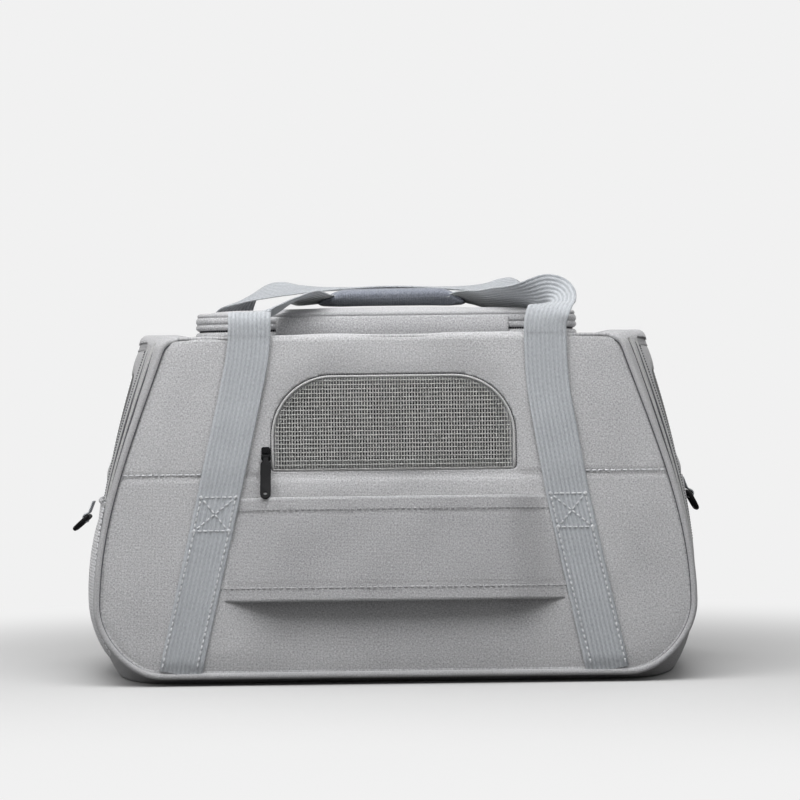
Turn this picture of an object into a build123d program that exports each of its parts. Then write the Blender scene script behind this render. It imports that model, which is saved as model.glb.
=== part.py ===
"""Soft-sided pet transport carrier with a top flap, a luggage sleeve and two carrying handles.

Frame: millimetres, +Z up, origin at the middle of the flat base. The luggage-sleeve side faces -Y,
the length runs along X. "Near" means the -Y side and "far" the +Y side.
"""

import os
from math import atan2, cos, sin

from build123d import *

# ---- Bag shell: two flat side panels that lean together, joined by a band that bulges at the ends
bag_height = 245.0
base_depth = 278.0
top_depth = 246.0
panel_top_length = 317.0
panel_belly_length = 415.6
end_bulge_top = 28.0
end_bulge_belly = 13.0
belly_height = 56.0
side_lean = 0.34
corner_reach = 44.0
shoulder_radius = 9.0
seam_height = 9.0
base_droop = 20.0
wall = 3.0
piping_radius = 2.6
seam_line = 146.0
seam_gap = 0.3
beyond = 1000.0

# ---- Arched mesh window on each side panel
window_half = 86.0
window_low = 149.5
window_top_margin = 28.0
window_corner_share = 0.563
chain_width = 6.8
chain_thickness = 1.6
chain_drop = 0.6
part_gap = 0.4
tape_width = 5.0
tape_thickness = 1.4
mesh_thickness = 0.9

# ---- Doors in the two ends
door_half = 80.0
door_low = 142.0
door_top_margin = 17.0
door_corner_share = 0.326
door_border = 13.0
end_chain_width = 6.0
end_seam = 139.0
end_zone = 100.0
door_slider_height = 185.0

# ---- Lid over the top opening
lid_half_length = 137.0
lid_half_depth = 75.0
lid_corner = 22.0
lid_wall = 2.6
rim_height = 4.0
lid_chain_height = 3.6
lid_skirt_top = 15.0
lid_height = 19.0
lid_hinge_half = 84.0
lid_border = 34.0
lid_mesh_corner = 16.0
chain_inset = 0.5
lid_round = 2.5
mesh_lift = 1.2
lid_slider_place = -20.0

# ---- Webbing, handles and grip
webbing_width = 30.0
webbing_thickness = 2.2
strap_foot = 150.0
strap_stitch = 122.5
strap_stitch_height = 134.0
strap_shoulder = 105.5
leg_standoff = 1.6
turn_clearance = 0.8
loop_bend_radius = 46.0
near_loop_reach = -4.0
far_loop_reach = 43.0
near_loop_route = [(104.0, 18.0), (76.0, 23.0), (30.0, 26.0), (-22.0, 29.0)]
far_loop_route = [(118.0, 26.0), (98.0, 42.0), (70.0, 44.0), (24.0, 41.0)]
leg_rise = 1.0
strap_foot_gap = 1.0
grip_length = 112.0
grip_width = 37.0
grip_height = 14.0
grip_round = 4.0

# ---- Luggage sleeve
sleeve_low = 58.5
sleeve_high = 131.0
sleeve_gap = 19.0
sleeve_crown = 1.5
sleeve_thickness = 2.0
sleeve_flange = 12.0
sleeve_slot_half = 78.0

# ---- Zip sliders and pull tabs
slider_length = 10.0
slider_width = 6.4
slider_thickness = 3.2
slider_gap = 0.4
slider_plate = 2.0
slider_round = 1.6
pin_lift = 3.4
pin_place = -2.0
pin_clearance = 0.08
ear_thickness = 1.0
ear_length = 3.6
ear_radius = 1.4
window_slider_height = 162.0
window_tab_lean = 22.0
tab_length = 29.0
tab_width = 7.4
tab_thickness = 2.0
tab_pin_radius = 0.8
tab_shoulder = 3.0
tab_eye = 0.3
tab_hole = 1.3

# ---- D-rings
left_ring_height = 114.0
right_ring_height = 127.0
ring_wire = 1.7
ring_width = 24.0
ring_depth = 13.0
ring_tab_width = 18.0
ring_tab_drop = 12.0
ring_tab_thickness = 1.8
ring_bend = 7.0
left_ring_swing = 40.0
right_ring_swing = 20.0

# ---- Mesh pocket on the left end
pocket_low = 16.0
pocket_high = 128.0
pocket_half = 96.0
pocket_bulge = 9.0
pocket_skin = 1.5
pocket_seam = 6.0
pocket_root = 150.0
pocket_mouth_bulge = 2.0

# ---- Base board and bed
board_thickness = 3.0
board_half_length = 164.0
board_half_depth = 104.0
board_corner = 18.0
bed_round = 7.0
bed_thickness = 18.0
bed_inset = 3.0
lay_gap = 0.3

# ---- Worked-out values
tilt = atan2((base_depth - top_depth) / 2, bag_height)
up = 1 / cos(tilt)
window_high = bag_height - window_top_margin
door_high = bag_height - door_top_margin
leg_top = bag_height + leg_rise
window_corner = window_corner_share * (window_high - window_low)
door_corner = door_corner_share * (door_high - door_low)


def panel_plane(side, inset=0.0):
    """The outer face of the near (-1) or far (+1) side panel, moved inwards by inset; its Y runs up the panel."""
    normal = (0, side * cos(tilt), sin(tilt))
    origin = Vector(0, side * base_depth / 2, 0) - Vector(*normal) * inset
    if side < 0:
        return Plane(origin=origin, x_dir=(1, 0, 0), z_dir=normal)
    return Plane(origin=origin, x_dir=(1, 0, 0), z_dir=-Vector(*normal))


def depth_at(height, offset=0.0):
    """Distance from the mid-plane to a side panel's outer face at a height, plus an offset square to it."""
    return base_depth / 2 - height * (base_depth - top_depth) / 2 / bag_height + offset / cos(tilt)


def outline(top_half, belly_half, low, high, stretch=1.0):
    """End-on outline of the bag: straight top and bottom, leaning sides and round corners."""
    shoulder = (top_half, high * stretch)
    belly = (belly_half, belly_height * stretch)
    heel = (belly_half - corner_reach, low * stretch)
    side = Spline(shoulder, belly, tangents=[(side_lean, -1), (0, -1)])
    corner = Spline(belly, heel, tangents=[(0, -1), (-1, 0)])
    edges = [Line((-top_half, shoulder[1]), shoulder), side, corner]
    edges += [Line(heel, (-heel[0], heel[1]))]
    edges += [mirror(e, Plane.YZ) for e in (side, corner)]
    face = make_face(Wire([e for edge in edges for e in edge.edges()]).edges())
    tops = face.vertices().sort_by(Axis.Y)[-2:]
    return fillet(tops, shoulder_radius)


def bag_form(inset=0.0, top_growth=0.0, belly_growth=0.0):
    """Solid form of the bag, moved inwards by inset; the growths swell the ends at mid depth."""
    top_half = panel_top_length / 2 - inset
    belly_half = panel_belly_length / 2 - inset
    high = bag_height - inset
    near = panel_plane(-1, inset) * outline(top_half, belly_half, seam_height + inset, high, up)
    far = panel_plane(1, inset) * outline(top_half, belly_half, seam_height + inset, high, up)
    middle = Plane.XZ * outline(
        top_half + end_bulge_top + top_growth,
        belly_half + end_bulge_belly + belly_growth,
        inset - base_droop,
        high,
    )
    form = loft([near, middle, far])
    return form & Pos(0, 0, inset) * Box(beyond, beyond, beyond, align=(Align.CENTER, Align.CENTER, Align.MIN))


def slab_box(side, inset):
    """Everything on the outer side of a side panel's inner face."""
    away = Align.MIN if side < 0 else Align.MAX
    box = Box(beyond, beyond, base_depth / 3, align=(Align.CENTER, Align.CENTER, away))
    return panel_plane(side, inset) * box


def outward(side):
    """Direction square to a side panel, away from the bag."""
    return Vector(0, side * cos(tilt), sin(tilt))


def on_panel(side, sketch, start, thickness):
    """A flat piece drawn on a side panel, from start to start + thickness outside its face."""
    return extrude(panel_plane(side, -start) * sketch, thickness, dir=outward(side))


def rounded(half_x, half_y, radius):
    """A rectangle with round corners, about the origin."""
    return RectangleRounded(2 * half_x, 2 * half_y, radius)


def gate(half, low, high, corner):
    """An upright opening with a straight foot and round upper corners."""
    sketch = Pos(0, (low + high) / 2) * Rectangle(2 * half, high - low)
    return fillet(sketch.vertices().sort_by(Axis.Y)[-2:], corner)


def window(grow=0.0, foot=0.0):
    """The arched window's outline on a side panel, grown at the sides and top, its foot raised."""
    low = window_low * up + foot
    return gate(window_half + grow, low, window_high * up + grow, window_corner + grow)


def end_window(grow=0.0, foot=0.0):
    """The end door's outline as a prism through both ends, grown at the sides and top."""
    sketch = gate(door_half + grow, door_low + foot, door_high + grow, door_corner + grow)
    return extrude(Plane.YZ * sketch, beyond, both=True)


def slab(low, high):
    """Everything between two heights."""
    return Pos(0, 0, low) * Box(beyond, beyond, high - low, align=(Align.CENTER, Align.CENTER, Align.MIN))


def end_side(side):
    """Everything on one end's side of the bag."""
    return Pos(side * beyond / 2, 0, 0) * Box(beyond - 2 * end_zone, beyond, beyond)


# ---- Fabric shell
def make_shell():
    """The two side panels, the band round them and the piping in the seams."""
    outer = bag_form()
    shell = outer - bag_form(wall)
    parts = {"outer": outer, "band": shell - slab_box(-1, wall) - slab_box(1, wall)}
    for side, name in ((-1, "near"), (1, "far")):
        face = outline(panel_top_length / 2, panel_belly_length / 2, seam_height, bag_height, up)
        high = bag_height * up - part_gap
        path = Wire([e for e in face.wire().edges() if e.center().Y < high])
        path = (panel_plane(side) * path).wire()
        section = Plane(origin=path @ 0, z_dir=path % 0) * Circle(piping_radius)
        piping = sweep(section, path=path)
        parts[name + "_piping"] = piping
        parts[name] = (shell & slab_box(side, wall)) - piping
        parts["band"] -= piping
    return parts


def cut_panel(panel, side):
    """A side panel split at its cross seam, with the arched window open: upper piece, lower piece."""
    reach = seam_line * up
    above = Pos(0, reach + seam_gap / 2 + beyond / 2) * Rectangle(beyond, beyond)
    below = Pos(0, reach - seam_gap / 2 - beyond / 2) * Rectangle(beyond, beyond)
    upper = panel & on_panel(side, above, -2 * wall, 4 * wall)
    lower = panel & on_panel(side, below, -2 * wall, 4 * wall)
    return upper - on_panel(side, window(part_gap + chain_width), -2 * wall, 4 * wall), lower


# ---- Luggage sleeve
def strap_centre(height):
    """Distance of a strap's centre line from the middle of the panel, at a height on the panel."""
    if height < strap_stitch_height:
        share = (height - seam_height) / (strap_stitch_height - seam_height)
        return strap_foot + share * (strap_stitch - strap_foot)
    share = (height - strap_stitch_height) / (bag_height - strap_stitch_height)
    return strap_stitch + share * (strap_shoulder - strap_stitch)


def sleeve_section(height):
    """The sleeve's cross-section: flat flanges under the straps and a raised band between them."""
    foot = strap_centre(height) - webbing_width / 2
    end = foot + sleeve_flange

    def run(lift):
        rise = [(-foot, 0), (-sleeve_slot_half, sleeve_gap), (0, sleeve_gap + sleeve_crown)]
        rise += [(sleeve_slot_half, sleeve_gap), (foot, 0)]
        curve = Spline([(x, d + lift) for x, d in rise], tangents=[(1, 0), (1, 0)])
        left = Line((-end, lift), (-foot, lift))
        return left, curve, Line((foot, lift), (end, lift))

    edges = [*run(0), Line((end, 0), (end, sleeve_thickness))]
    edges += [*run(sleeve_thickness), Line((-end, sleeve_thickness), (-end, 0))]
    origin = panel_plane(-1).from_local_coords(Vector(0, height * up, 0))
    plane = Plane(origin=origin, x_dir=(1, 0, 0), z_dir=-panel_plane(-1).y_dir)
    return plane * make_face([e for edge in edges for e in edge.edges()])


def make_sleeve():
    """The band that a suitcase's handle slides behind, open above and below."""
    return loft([sleeve_section(sleeve_low), sleeve_section(sleeve_high)], ruled=True)


# ---- Webbing
def strap(side, low, high, start, thickness):
    """A pair of webbing straps on a side panel between two heights."""
    half = webbing_width / 2
    spots = [(strap_centre(h), h * up) for h in (low, high)]
    (x0, h0), (x1, h1) = spots
    right = make_face(Polyline((x0 - half, h0), (x0 + half, h0), (x1 + half, h1), (x1 - half, h1), close=True))
    return on_panel(side, right + mirror(right, Plane.YZ), start, thickness)


def loop_profile(side):
    """The handle loop's route seen along the bag: up off the panel, then in over the lid."""
    start = (depth_at(leg_top + turn_clearance, leg_standoff + webbing_thickness / 2), leg_top + turn_clearance)
    if side < 0:
        rest = [(y, bag_height + z) for y, z in near_loop_route]
    else:
        rest = [(y, bag_height + z) for y, z in far_loop_route]
    points = [(side * y, z) for y, z in [start, *rest]]
    line = Spline(points, tangents=[(0, 1), (-side, 0)])
    return extrude(Plane.YZ * trace(line, webbing_thickness), beyond, both=True)


def make_loop(side):
    """A handle loop: one flat length of webbing from leg to leg, turned along the bag in the middle."""
    reach = near_loop_reach if side < 0 else far_loop_reach
    half = webbing_width / 2

    def patch(grow):
        width = 2 * (strap_shoulder + grow)
        middle = side * (reach - grow + base_depth / 2)
        return Pos(0, middle) * RectangleRounded(width, base_depth, loop_bend_radius + grow)

    ribbon = patch(half) - patch(-half)
    return extrude(ribbon, 2 * bag_height) & loop_profile(side)


def make_grip(loop):
    """The padded sleeve round the middle of the near loop."""
    box = (loop & Box(grip_length, beyond, beyond)).bounding_box()
    centre = (box.min + box.max) * 0.5
    body = Plane(origin=(0, centre.Y, centre.Z), z_dir=(1, 0, 0)) * extrude(
        SlotOverall(grip_width, grip_height, rotation=90), grip_length / 2, both=True
    )
    return fillet(body.edges().filter_by(Plane.YZ), grip_round) - loop


# ---- Lid
def ring(grow_out, grow_in, low, high):
    """An upright rounded-rectangle ring round the top opening."""
    outside = rounded(lid_half_length + grow_out, lid_half_depth + grow_out, lid_corner + grow_out)
    inside = rounded(lid_half_length + grow_in, lid_half_depth + grow_in, lid_corner + grow_in)
    return Pos(0, 0, low) * extrude(outside - inside, high - low)


def make_lid():
    """Rim and chain on the bag, then the lid's skirt with its hinge strip, cover and mesh."""
    top = bag_height
    rim_top = top + rim_height
    chain_top = rim_top + lid_chain_height
    skirt_top = top + lid_skirt_top
    strip_box = Pos(0, -lid_half_depth, 0) * Box(2 * lid_hinge_half, 2 * lid_corner, beyond)
    strip_hole = Pos(0, -lid_half_depth, 0) * Box(2 * (lid_hinge_half + part_gap), 2 * lid_corner, beyond)
    rim = ring(0, -lid_wall, top, rim_top)
    chain = ring(-chain_inset, -lid_wall + chain_inset, rim_top, chain_top) - strip_hole
    strip = ring(0, -lid_wall, rim_top + part_gap, chain_top + part_gap) & strip_box
    skirt = ring(0, -lid_wall, chain_top + part_gap, skirt_top) + strip
    plate = rounded(lid_half_length, lid_half_depth, lid_corner)
    hole = rounded(lid_half_length - lid_border, lid_half_depth - lid_border, lid_mesh_corner)
    cover = Pos(0, 0, skirt_top) * extrude(plate, lid_height - lid_skirt_top)
    cover = fillet(cover.edges().group_by(Axis.Z)[-1], lid_round)
    cover -= Pos(0, 0, skirt_top) * extrude(hole, lid_height)
    mesh = Pos(0, 0, skirt_top + mesh_lift) * extrude(hole, mesh_thickness)
    return rim, chain, skirt, cover, mesh


# ---- Zip sliders
def make_slider(spot):
    """A slider on a zip chain; spot's Z points off the chain, its Y along the travel, up from the pull."""
    plate = extrude(RectangleRounded(slider_width, slider_length, slider_round), slider_plate)
    nose = Pos(0, slider_length / 4, slider_plate) * extrude(
        RectangleRounded(slider_width * 0.6, slider_length / 3, slider_round / 2), slider_thickness - slider_plate
    )
    ear = Box(ear_thickness, ear_length, pin_lift + ear_radius, align=(Align.CENTER, Align.CENTER, Align.MIN))
    ear = fillet(ear.edges().filter_by(Axis.X).group_by(Axis.Z)[-1], ear_radius)
    offset = slider_width / 2 - ear_thickness / 2
    ears = Pos(offset, pin_place, 0) * ear + Pos(-offset, pin_place, 0) * ear
    pin = Pos(0, pin_place, pin_lift) * Rot(0, 90, 0) * Cylinder(tab_pin_radius, slider_width)
    return spot * (plate + nose + ears + pin)


def make_tab(spot, lean=0.0):
    """A flat pull tab hanging on the slider's pin, leaning outwards, with a round end and a small hole."""
    neck = slider_width - 2 * ear_thickness - 2 * slider_gap
    body = Pos(0, -tab_length / 2 - tab_shoulder) * SlotOverall(tab_length, tab_width, rotation=90)
    stem = Pos(0, -tab_shoulder) * Rectangle(neck, 2 * tab_shoulder + ear_radius)
    eye = Circle(tab_thickness / 2 + tab_eye)
    sketch = body + stem - Pos(0, -tab_length - tab_shoulder + tab_width / 2) * Circle(tab_hole)
    plate = Pos(0, 0, -tab_thickness / 2) * extrude(sketch, tab_thickness)
    roll = Rot(0, 90, 0) * Cylinder(tab_thickness / 2 + tab_eye, neck)
    bore = Rot(0, 90, 0) * Cylinder(tab_pin_radius + pin_clearance, 3 * slider_width)
    return spot * Pos(0, pin_place, pin_lift) * Rot(-lean, 0, 0) * (plate + roll - bore)


def end_spot(form, y, z, gap):
    """A place on an end of the bag: Z off the surface, Y up along it."""
    hits = form.find_intersection_points(Axis((0, y, z), (1, 0, 0)))
    point, normal = max(hits, key=lambda hit: hit[0].X)
    normal = normal if normal.X > 0 else -normal
    across = Vector(0, 0, 1).cross(normal).normalized()
    return Plane(origin=point + normal * gap, x_dir=across, z_dir=normal)


# ---- D-rings
def make_ring_set(form, height, swing):
    """Webbing tab and D-ring on the right-hand end of a form: tab, ring."""
    spot = end_spot(form, 0, height, 0)
    eye_radius = ring_wire + pin_clearance
    loop_radius = eye_radius + ring_tab_thickness
    pivot = spot * Pos(0, 0, loop_radius)
    strap_piece = spot * Pos(0, ring_tab_drop / 2, ring_tab_thickness / 2) * Box(
        ring_tab_width, ring_tab_drop, ring_tab_thickness
    )
    roll = pivot * Rot(0, 90, 0) * Cylinder(loop_radius, ring_tab_width)
    bore = pivot * Rot(0, 90, 0) * Cylinder(eye_radius, ring_tab_width * 3)
    tab = strap_piece + roll - bore
    arc = fillet(
        (Pos(0, -ring_depth / 2) * Rectangle(ring_width, ring_depth)).vertices().sort_by(Axis.Y)[:2], ring_bend
    )
    arc = fillet(arc.vertices().sort_by(Axis.Y)[-2:], ring_wire + ring_tab_thickness / 2)
    path = (pivot * Rot(-swing, 0, 0) * arc).wire()
    section = Plane(origin=path @ 0, z_dir=path % 0) * Circle(ring_wire)
    return tab, sweep(section, path=path)


# ---- Mesh pocket
def make_pocket(outer):
    """The left end's bulging mesh pocket, open at the top."""
    def zone(half, low, high):
        align = (Align.MAX, Align.CENTER, Align.MIN)
        return Pos(-pocket_root, 0, low) * Box(beyond, 2 * half, high - low, align=align)

    skin = bag_form(0, pocket_mouth_bulge, pocket_bulge)
    hollow = bag_form(0, pocket_mouth_bulge - pocket_skin, pocket_bulge - pocket_skin)
    body = (skin - outer) & zone(pocket_half, pocket_low, pocket_high)
    space = (hollow - outer) & zone(pocket_half - pocket_seam, pocket_low + pocket_seam, 2 * pocket_high)
    return body - space, skin


# ---- Build
parts = {}
made = make_shell()
outer = made["outer"]
band = made["band"]
parts["near_piping"] = made["near_piping"]
parts["far_piping"] = made["far_piping"]
parts["near_upper_panel"], parts["near_lower_panel"] = cut_panel(made["near"], -1)
parts["far_upper_panel"], parts["far_lower_panel"] = cut_panel(made["far"], 1)

rim, chain, skirt, cover, mesh = make_lid()
hatch = rounded(lid_half_length - lid_wall, lid_half_depth - lid_wall, lid_corner - lid_wall)
top_low = bag_height - 2 * wall
parts["top_panel"] = (band & slab(top_low, 2 * bag_height)) - Pos(0, 0, top_low) * extrude(hatch, 3 * wall)
parts["lid_zip_rim"] = rim
parts["lid_zip_chain"] = chain
parts["lid_skirt"] = skirt
parts["lid_cover"] = cover
parts["lid_mesh"] = mesh

parts["base_gusset"] = band & slab(0, end_seam)
ends = band & slab(end_seam, top_low)
frame_hole = end_window(part_gap + end_chain_width)
chain_hole = end_window(part_gap)
leaf = end_window(0, part_gap)
leaf_hole = end_window(-door_border, door_border)
skin = bag_form(wall - mesh_thickness) - bag_form(wall)
for side, name in ((-1, "left"), (1, "right")):
    end = ends & end_side(side)
    parts[name + "_end_frame"] = end - frame_hole
    parts[name + "_door_chain"] = (end & frame_hole) - chain_hole
    parts[name + "_door_frame"] = (end & leaf) - leaf_hole
    parts[name + "_door_mesh"] = skin & end_side(side) & leaf_hole

for side, name in ((-1, "near"), (1, "far")):
    chain_shape = window(part_gap + chain_width) - window(part_gap)
    tape_shape = window(0, part_gap) - window(-tape_width, part_gap + tape_width)
    parts[name + "_window_chain"] = on_panel(side, chain_shape, -chain_drop - chain_thickness, chain_thickness)
    parts[name + "_window_tape"] = on_panel(side, tape_shape, -chain_drop - tape_thickness, tape_thickness)
    parts[name + "_window_mesh"] = on_panel(
        side, window(-tape_width, part_gap + tape_width), -chain_drop - tape_thickness, mesh_thickness
    )

parts["luggage_sleeve"] = make_sleeve()
strap_low = seam_height + piping_radius + strap_foot_gap
full = leg_standoff + webbing_thickness
parts["near_sewn_straps"] = strap(-1, strap_low, strap_stitch_height, 0, full) - parts["luggage_sleeve"]
parts["far_sewn_straps"] = strap(1, strap_low, strap_stitch_height, 0, full)
leg_low = strap_stitch_height + turn_clearance
parts["near_handle_legs"] = strap(-1, leg_low, leg_top, leg_standoff, webbing_thickness)
parts["far_handle_legs"] = strap(1, leg_low, leg_top, leg_standoff, webbing_thickness)
parts["near_handle_loop"] = make_loop(-1)
parts["far_handle_loop"] = make_loop(1)
parts["padded_grip"] = make_grip(parts["near_handle_loop"])

chain_centre = window_half + part_gap + chain_width / 2
window_spot = panel_plane(-1, chain_drop - slider_gap) * Pos(-chain_centre, window_slider_height * up)
parts["window_slider"] = make_slider(window_spot)
parts["window_pull_tab"] = make_tab(window_spot, window_tab_lean)
lid_spot = Plane(
    origin=(lid_slider_place, lid_half_depth + slider_gap, bag_height + rim_height + lid_chain_height / 2),
    x_dir=(0, 0, -1), z_dir=(0, 1, 0),
)
parts["lid_slider"] = make_slider(lid_spot)
parts["lid_pull_tab"] = make_tab(lid_spot)
door_track = door_half + part_gap + end_chain_width / 2
right_spot = end_spot(outer, door_track, door_slider_height, slider_gap)
right_slider = make_slider(right_spot)
right_tab = make_tab(right_spot)
parts["right_door_slider"] = right_slider
parts["right_door_pull_tab"] = right_tab
parts["left_door_slider"] = mirror(right_slider, Plane.YZ)
parts["left_door_pull_tab"] = mirror(right_tab, Plane.YZ)

pocket, pocket_form = make_pocket(outer)
parts["end_pocket"] = pocket
right_ring_tab, right_ring = make_ring_set(outer, right_ring_height, right_ring_swing)
left_ring_tab, left_ring = make_ring_set(pocket_form, left_ring_height, left_ring_swing)
parts["right_ring_tab"] = right_ring_tab
parts["right_d_ring"] = right_ring
parts["left_ring_tab"] = mirror(left_ring_tab, Plane.YZ)
parts["left_d_ring"] = mirror(left_ring, Plane.YZ)

board = extrude(rounded(board_half_length, board_half_depth, board_corner), board_thickness)
parts["base_board"] = Pos(0, 0, wall) * board
bed_half_length = board_half_length - bed_inset
bed_half_depth = board_half_depth - bed_inset
bed = extrude(rounded(bed_half_length, bed_half_depth, board_corner), bed_thickness)
bed = fillet(bed.edges().group_by(Axis.Z)[-1], bed_round)
parts["fleece_bed"] = Pos(0, 0, wall + board_thickness + lay_gap) * bed

os.makedirs("parts", exist_ok=True)
for name, shape in parts.items():
    export_step(Compound(children=shape.solids()), f"parts/{name}.step")
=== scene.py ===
"""Looks of the soft-sided pet transport carrier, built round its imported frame. Metres, +Z up."""

import math

import bpy
import numpy as np
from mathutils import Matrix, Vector, noise


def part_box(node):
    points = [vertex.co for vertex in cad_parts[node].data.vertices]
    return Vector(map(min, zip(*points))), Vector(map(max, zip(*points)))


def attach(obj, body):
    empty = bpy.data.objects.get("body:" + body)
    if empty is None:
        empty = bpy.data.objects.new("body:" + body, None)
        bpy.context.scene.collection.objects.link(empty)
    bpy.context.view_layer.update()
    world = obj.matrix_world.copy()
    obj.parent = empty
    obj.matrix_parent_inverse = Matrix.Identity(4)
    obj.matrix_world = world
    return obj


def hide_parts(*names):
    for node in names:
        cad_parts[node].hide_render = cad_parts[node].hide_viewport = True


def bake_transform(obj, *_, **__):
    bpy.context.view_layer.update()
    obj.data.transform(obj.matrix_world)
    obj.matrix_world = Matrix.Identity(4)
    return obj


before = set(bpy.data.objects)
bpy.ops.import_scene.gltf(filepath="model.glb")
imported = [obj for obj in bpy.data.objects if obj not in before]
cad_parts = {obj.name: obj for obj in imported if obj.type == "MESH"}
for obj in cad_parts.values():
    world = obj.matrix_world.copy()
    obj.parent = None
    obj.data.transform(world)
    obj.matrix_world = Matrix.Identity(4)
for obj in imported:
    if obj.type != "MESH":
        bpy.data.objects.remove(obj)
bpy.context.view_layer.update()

# ---- Driving sizes
MM = 0.001
BASE_HALF_DEPTH = 0.139
TOP_HALF_DEPTH = 0.123
BAG_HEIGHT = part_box("top_panel")[1].z
LEAN = math.atan2(BASE_HALF_DEPTH - TOP_HALF_DEPTH, BAG_HEIGHT)
PANEL_TOP_HALF = 0.1585
PANEL_BELLY_HALF = 0.2078
END_BULGE_TOP = 0.028
END_BULGE_BELLY = 0.013
BELLY_HEIGHT = 0.056
CORNER_REACH = 0.044
PANEL_LOW = 0.009
BASE_DROOP = 0.020
SIDE_LEAN = 0.34
SHOULDER = 0.010
MID_SHOULDER = 0.004
TOP_FOLD = 0.004
END_CROWN = 0.0042
END_START = 0.15
FLAT_POINTS = 58
FABRIC = 0.0024
GRID_STEP = 0.0026
PIPING_RADIUS = 0.0024
CROSS_SEAM = 0.146
SEAM_DIP = 0.0013
PANEL_FILL = 0.0022
PANEL_LIFT_LIMIT = 0.0026
PANEL_SINK = 0.0010
PANEL_MIDDLE = (0, 0.12)

WINDOW_HALF = 0.086
WINDOW_LOW = 0.1495
WINDOW_HIGH = 0.217
WINDOW_CORNER = 0.043
WINDOW_GAP = 0.0007
WINDOW_TOOTH = (0.0012, 0.0026, 0.0012)
TRIM_RADIUS = 0.0009
NEAR_PITCH = (0.00197, 0.00296)
FAR_PITCH = (0.00115, 0.00135)
LID_PITCH = (0.0014, 0.0017)
THREAD_RADIUS = 0.00040
DENSE_RADIUS = 0.00050
NET_TUCK = 0.002

DOOR_HALF = 0.080
DOOR_LOW = 0.142
DOOR_HIGH = 0.2385
DOOR_CORNER = 0.006
RIGHT_ZIP_FOOT = 0.097
DOOR_BORDER = 0.013
DOOR_MESH_CORNER = 0.015
DOOR_ZIP = 0.0044
DOOR_TOOTH = (0.0012, 0.0032, 0.0011)
DOOR_CORDS = (("outer", 0.089, 0.0011), ("far_outer", -0.089, 0.0011), ("edge", 0.104, 0.0014),
              ("far_edge", -0.104, 0.0014))

LID_CENTRE = -0.0045
LID_HALF_LENGTH = 0.137
LID_HALF_DEPTH = 0.075
LID_CORNER = 0.022
LID_BORDER = 0.034
LID_MESH_CORNER = 0.016
LID_DOME = 0.0060
HATCH_INSET = 0.0026
RING_STEP = 0.003
LID_TOP = BAG_HEIGHT + 0.0164
HINGE_HALF = 0.084
LID_TOOTH = (0.0012, 0.0016, 0.0010)

WEBBING = 0.030
WEBBING_THICKNESS = 0.0020
RIBS = 10
STRAP_HEIGHTS = (0.009, 0.134, 0.208, 0.236, 0.247)
LEFT_STRAP = (0.151, 0.1228, 0.1065, 0.1008, 0.1006)
RIGHT_STRAP = (0.148, 0.1215, 0.1090, 0.1078, 0.1078)
LOOP_START = 0.247
STITCH_HEIGHT = 0.134
BOX_LOW = 0.1085
STITCH = (0.0028, 0.0010, 0.0005)
STITCH_GAP = 0.0015
STITCH_ON_STRAP = 0.0040

SLEEVE_LOW = 0.0585
SLEEVE_HIGH = 0.131
SLEEVE_GAP = 0.0175
SLEEVE_SLOT_HALF = 0.078

POCKET_LOW = 0.016
POCKET_HIGH = 0.128
POCKET_HALF = 0.096

GRIP_TOP = 0.2820
GRIP_FOOT = 0.2712
GRIP_HALF_DEPTH = 0.0168
PUFF_FRAMES = 16

BACKGROUND = 0.88
WORLD_LIGHT = 0.30
FLOOR_HALF = 9
FLOOR_COLOUR = 0.58
FLOOR_BOUNCE = 0.15
FLOOR_FADE = (0.25, 0.75)
LAMP_AIM = 0.13
CAMERA_PLACE = (0.0050, -2.141, 0.199)
CAMERA_LENS = 128.7
CAMERA_ROLL = math.radians(0.7)


# ---- Mesh building
FOUR_SIDES = ((0, 1), (1, 2), (2, 3), (3, 0))


def mesh_object(name, points, faces, uv=None, smooth=True):
    """A mesh object in the row frame; uv is one pair of metres for each point."""
    mesh = bpy.data.meshes.new(name)
    places = [tuple(place) for place in np.reshape(points, (-1, 3))]
    mesh.from_pydata(places, [], [tuple(int(i) for i in face) for face in faces])
    if uv is not None:
        layer = mesh.uv_layers.new(name="UVMap")
        corners = np.empty(len(mesh.loops), int)
        mesh.loops.foreach_get("vertex_index", corners)
        layer.data.foreach_set("uv", np.reshape(uv, (-1, 2)).astype(np.float32)[corners].ravel())
    mesh.polygons.foreach_set("use_smooth", [smooth] * len(mesh.polygons))
    mesh.validate()
    made = bpy.data.objects.new(name, mesh)
    bpy.context.scene.collection.objects.link(made)
    return made


def grid_faces(rows, cols, close_rows=False, close_cols=False):
    """Quads of a rows x cols grid of points, wrapped round where closed."""
    quads = []
    for i in range(rows if close_rows else rows - 1):
        for j in range(cols if close_cols else cols - 1):
            k = (i + 1) % rows
            m = (j + 1) % cols
            quads.append((i * cols + j, k * cols + j, k * cols + m, i * cols + m))
    return quads


def grid_object(name, points, uv, closed=False):
    """A whole grid of points as a mesh object; closed joins its last row to its first."""
    return mesh_object(name, points, grid_faces(*points.shape[:2], close_rows=closed), uv)


def loft(name, rings, uv=None, inward=False):
    """Closed rings of points joined in order, with a cap on the first and the last."""
    rows, cols = rings.shape[:2]
    first, last = tuple(range(cols)), tuple(range((rows - 1) * cols, rows * cols))
    caps = [first, last[::-1]] if inward else [first[::-1], last]
    return mesh_object(name, rings, grid_faces(rows, cols, close_cols=True) + caps, uv)


def plane(first, second):
    """A grid over two ranges."""
    return np.meshgrid(first, second, indexing="ij")


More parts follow.
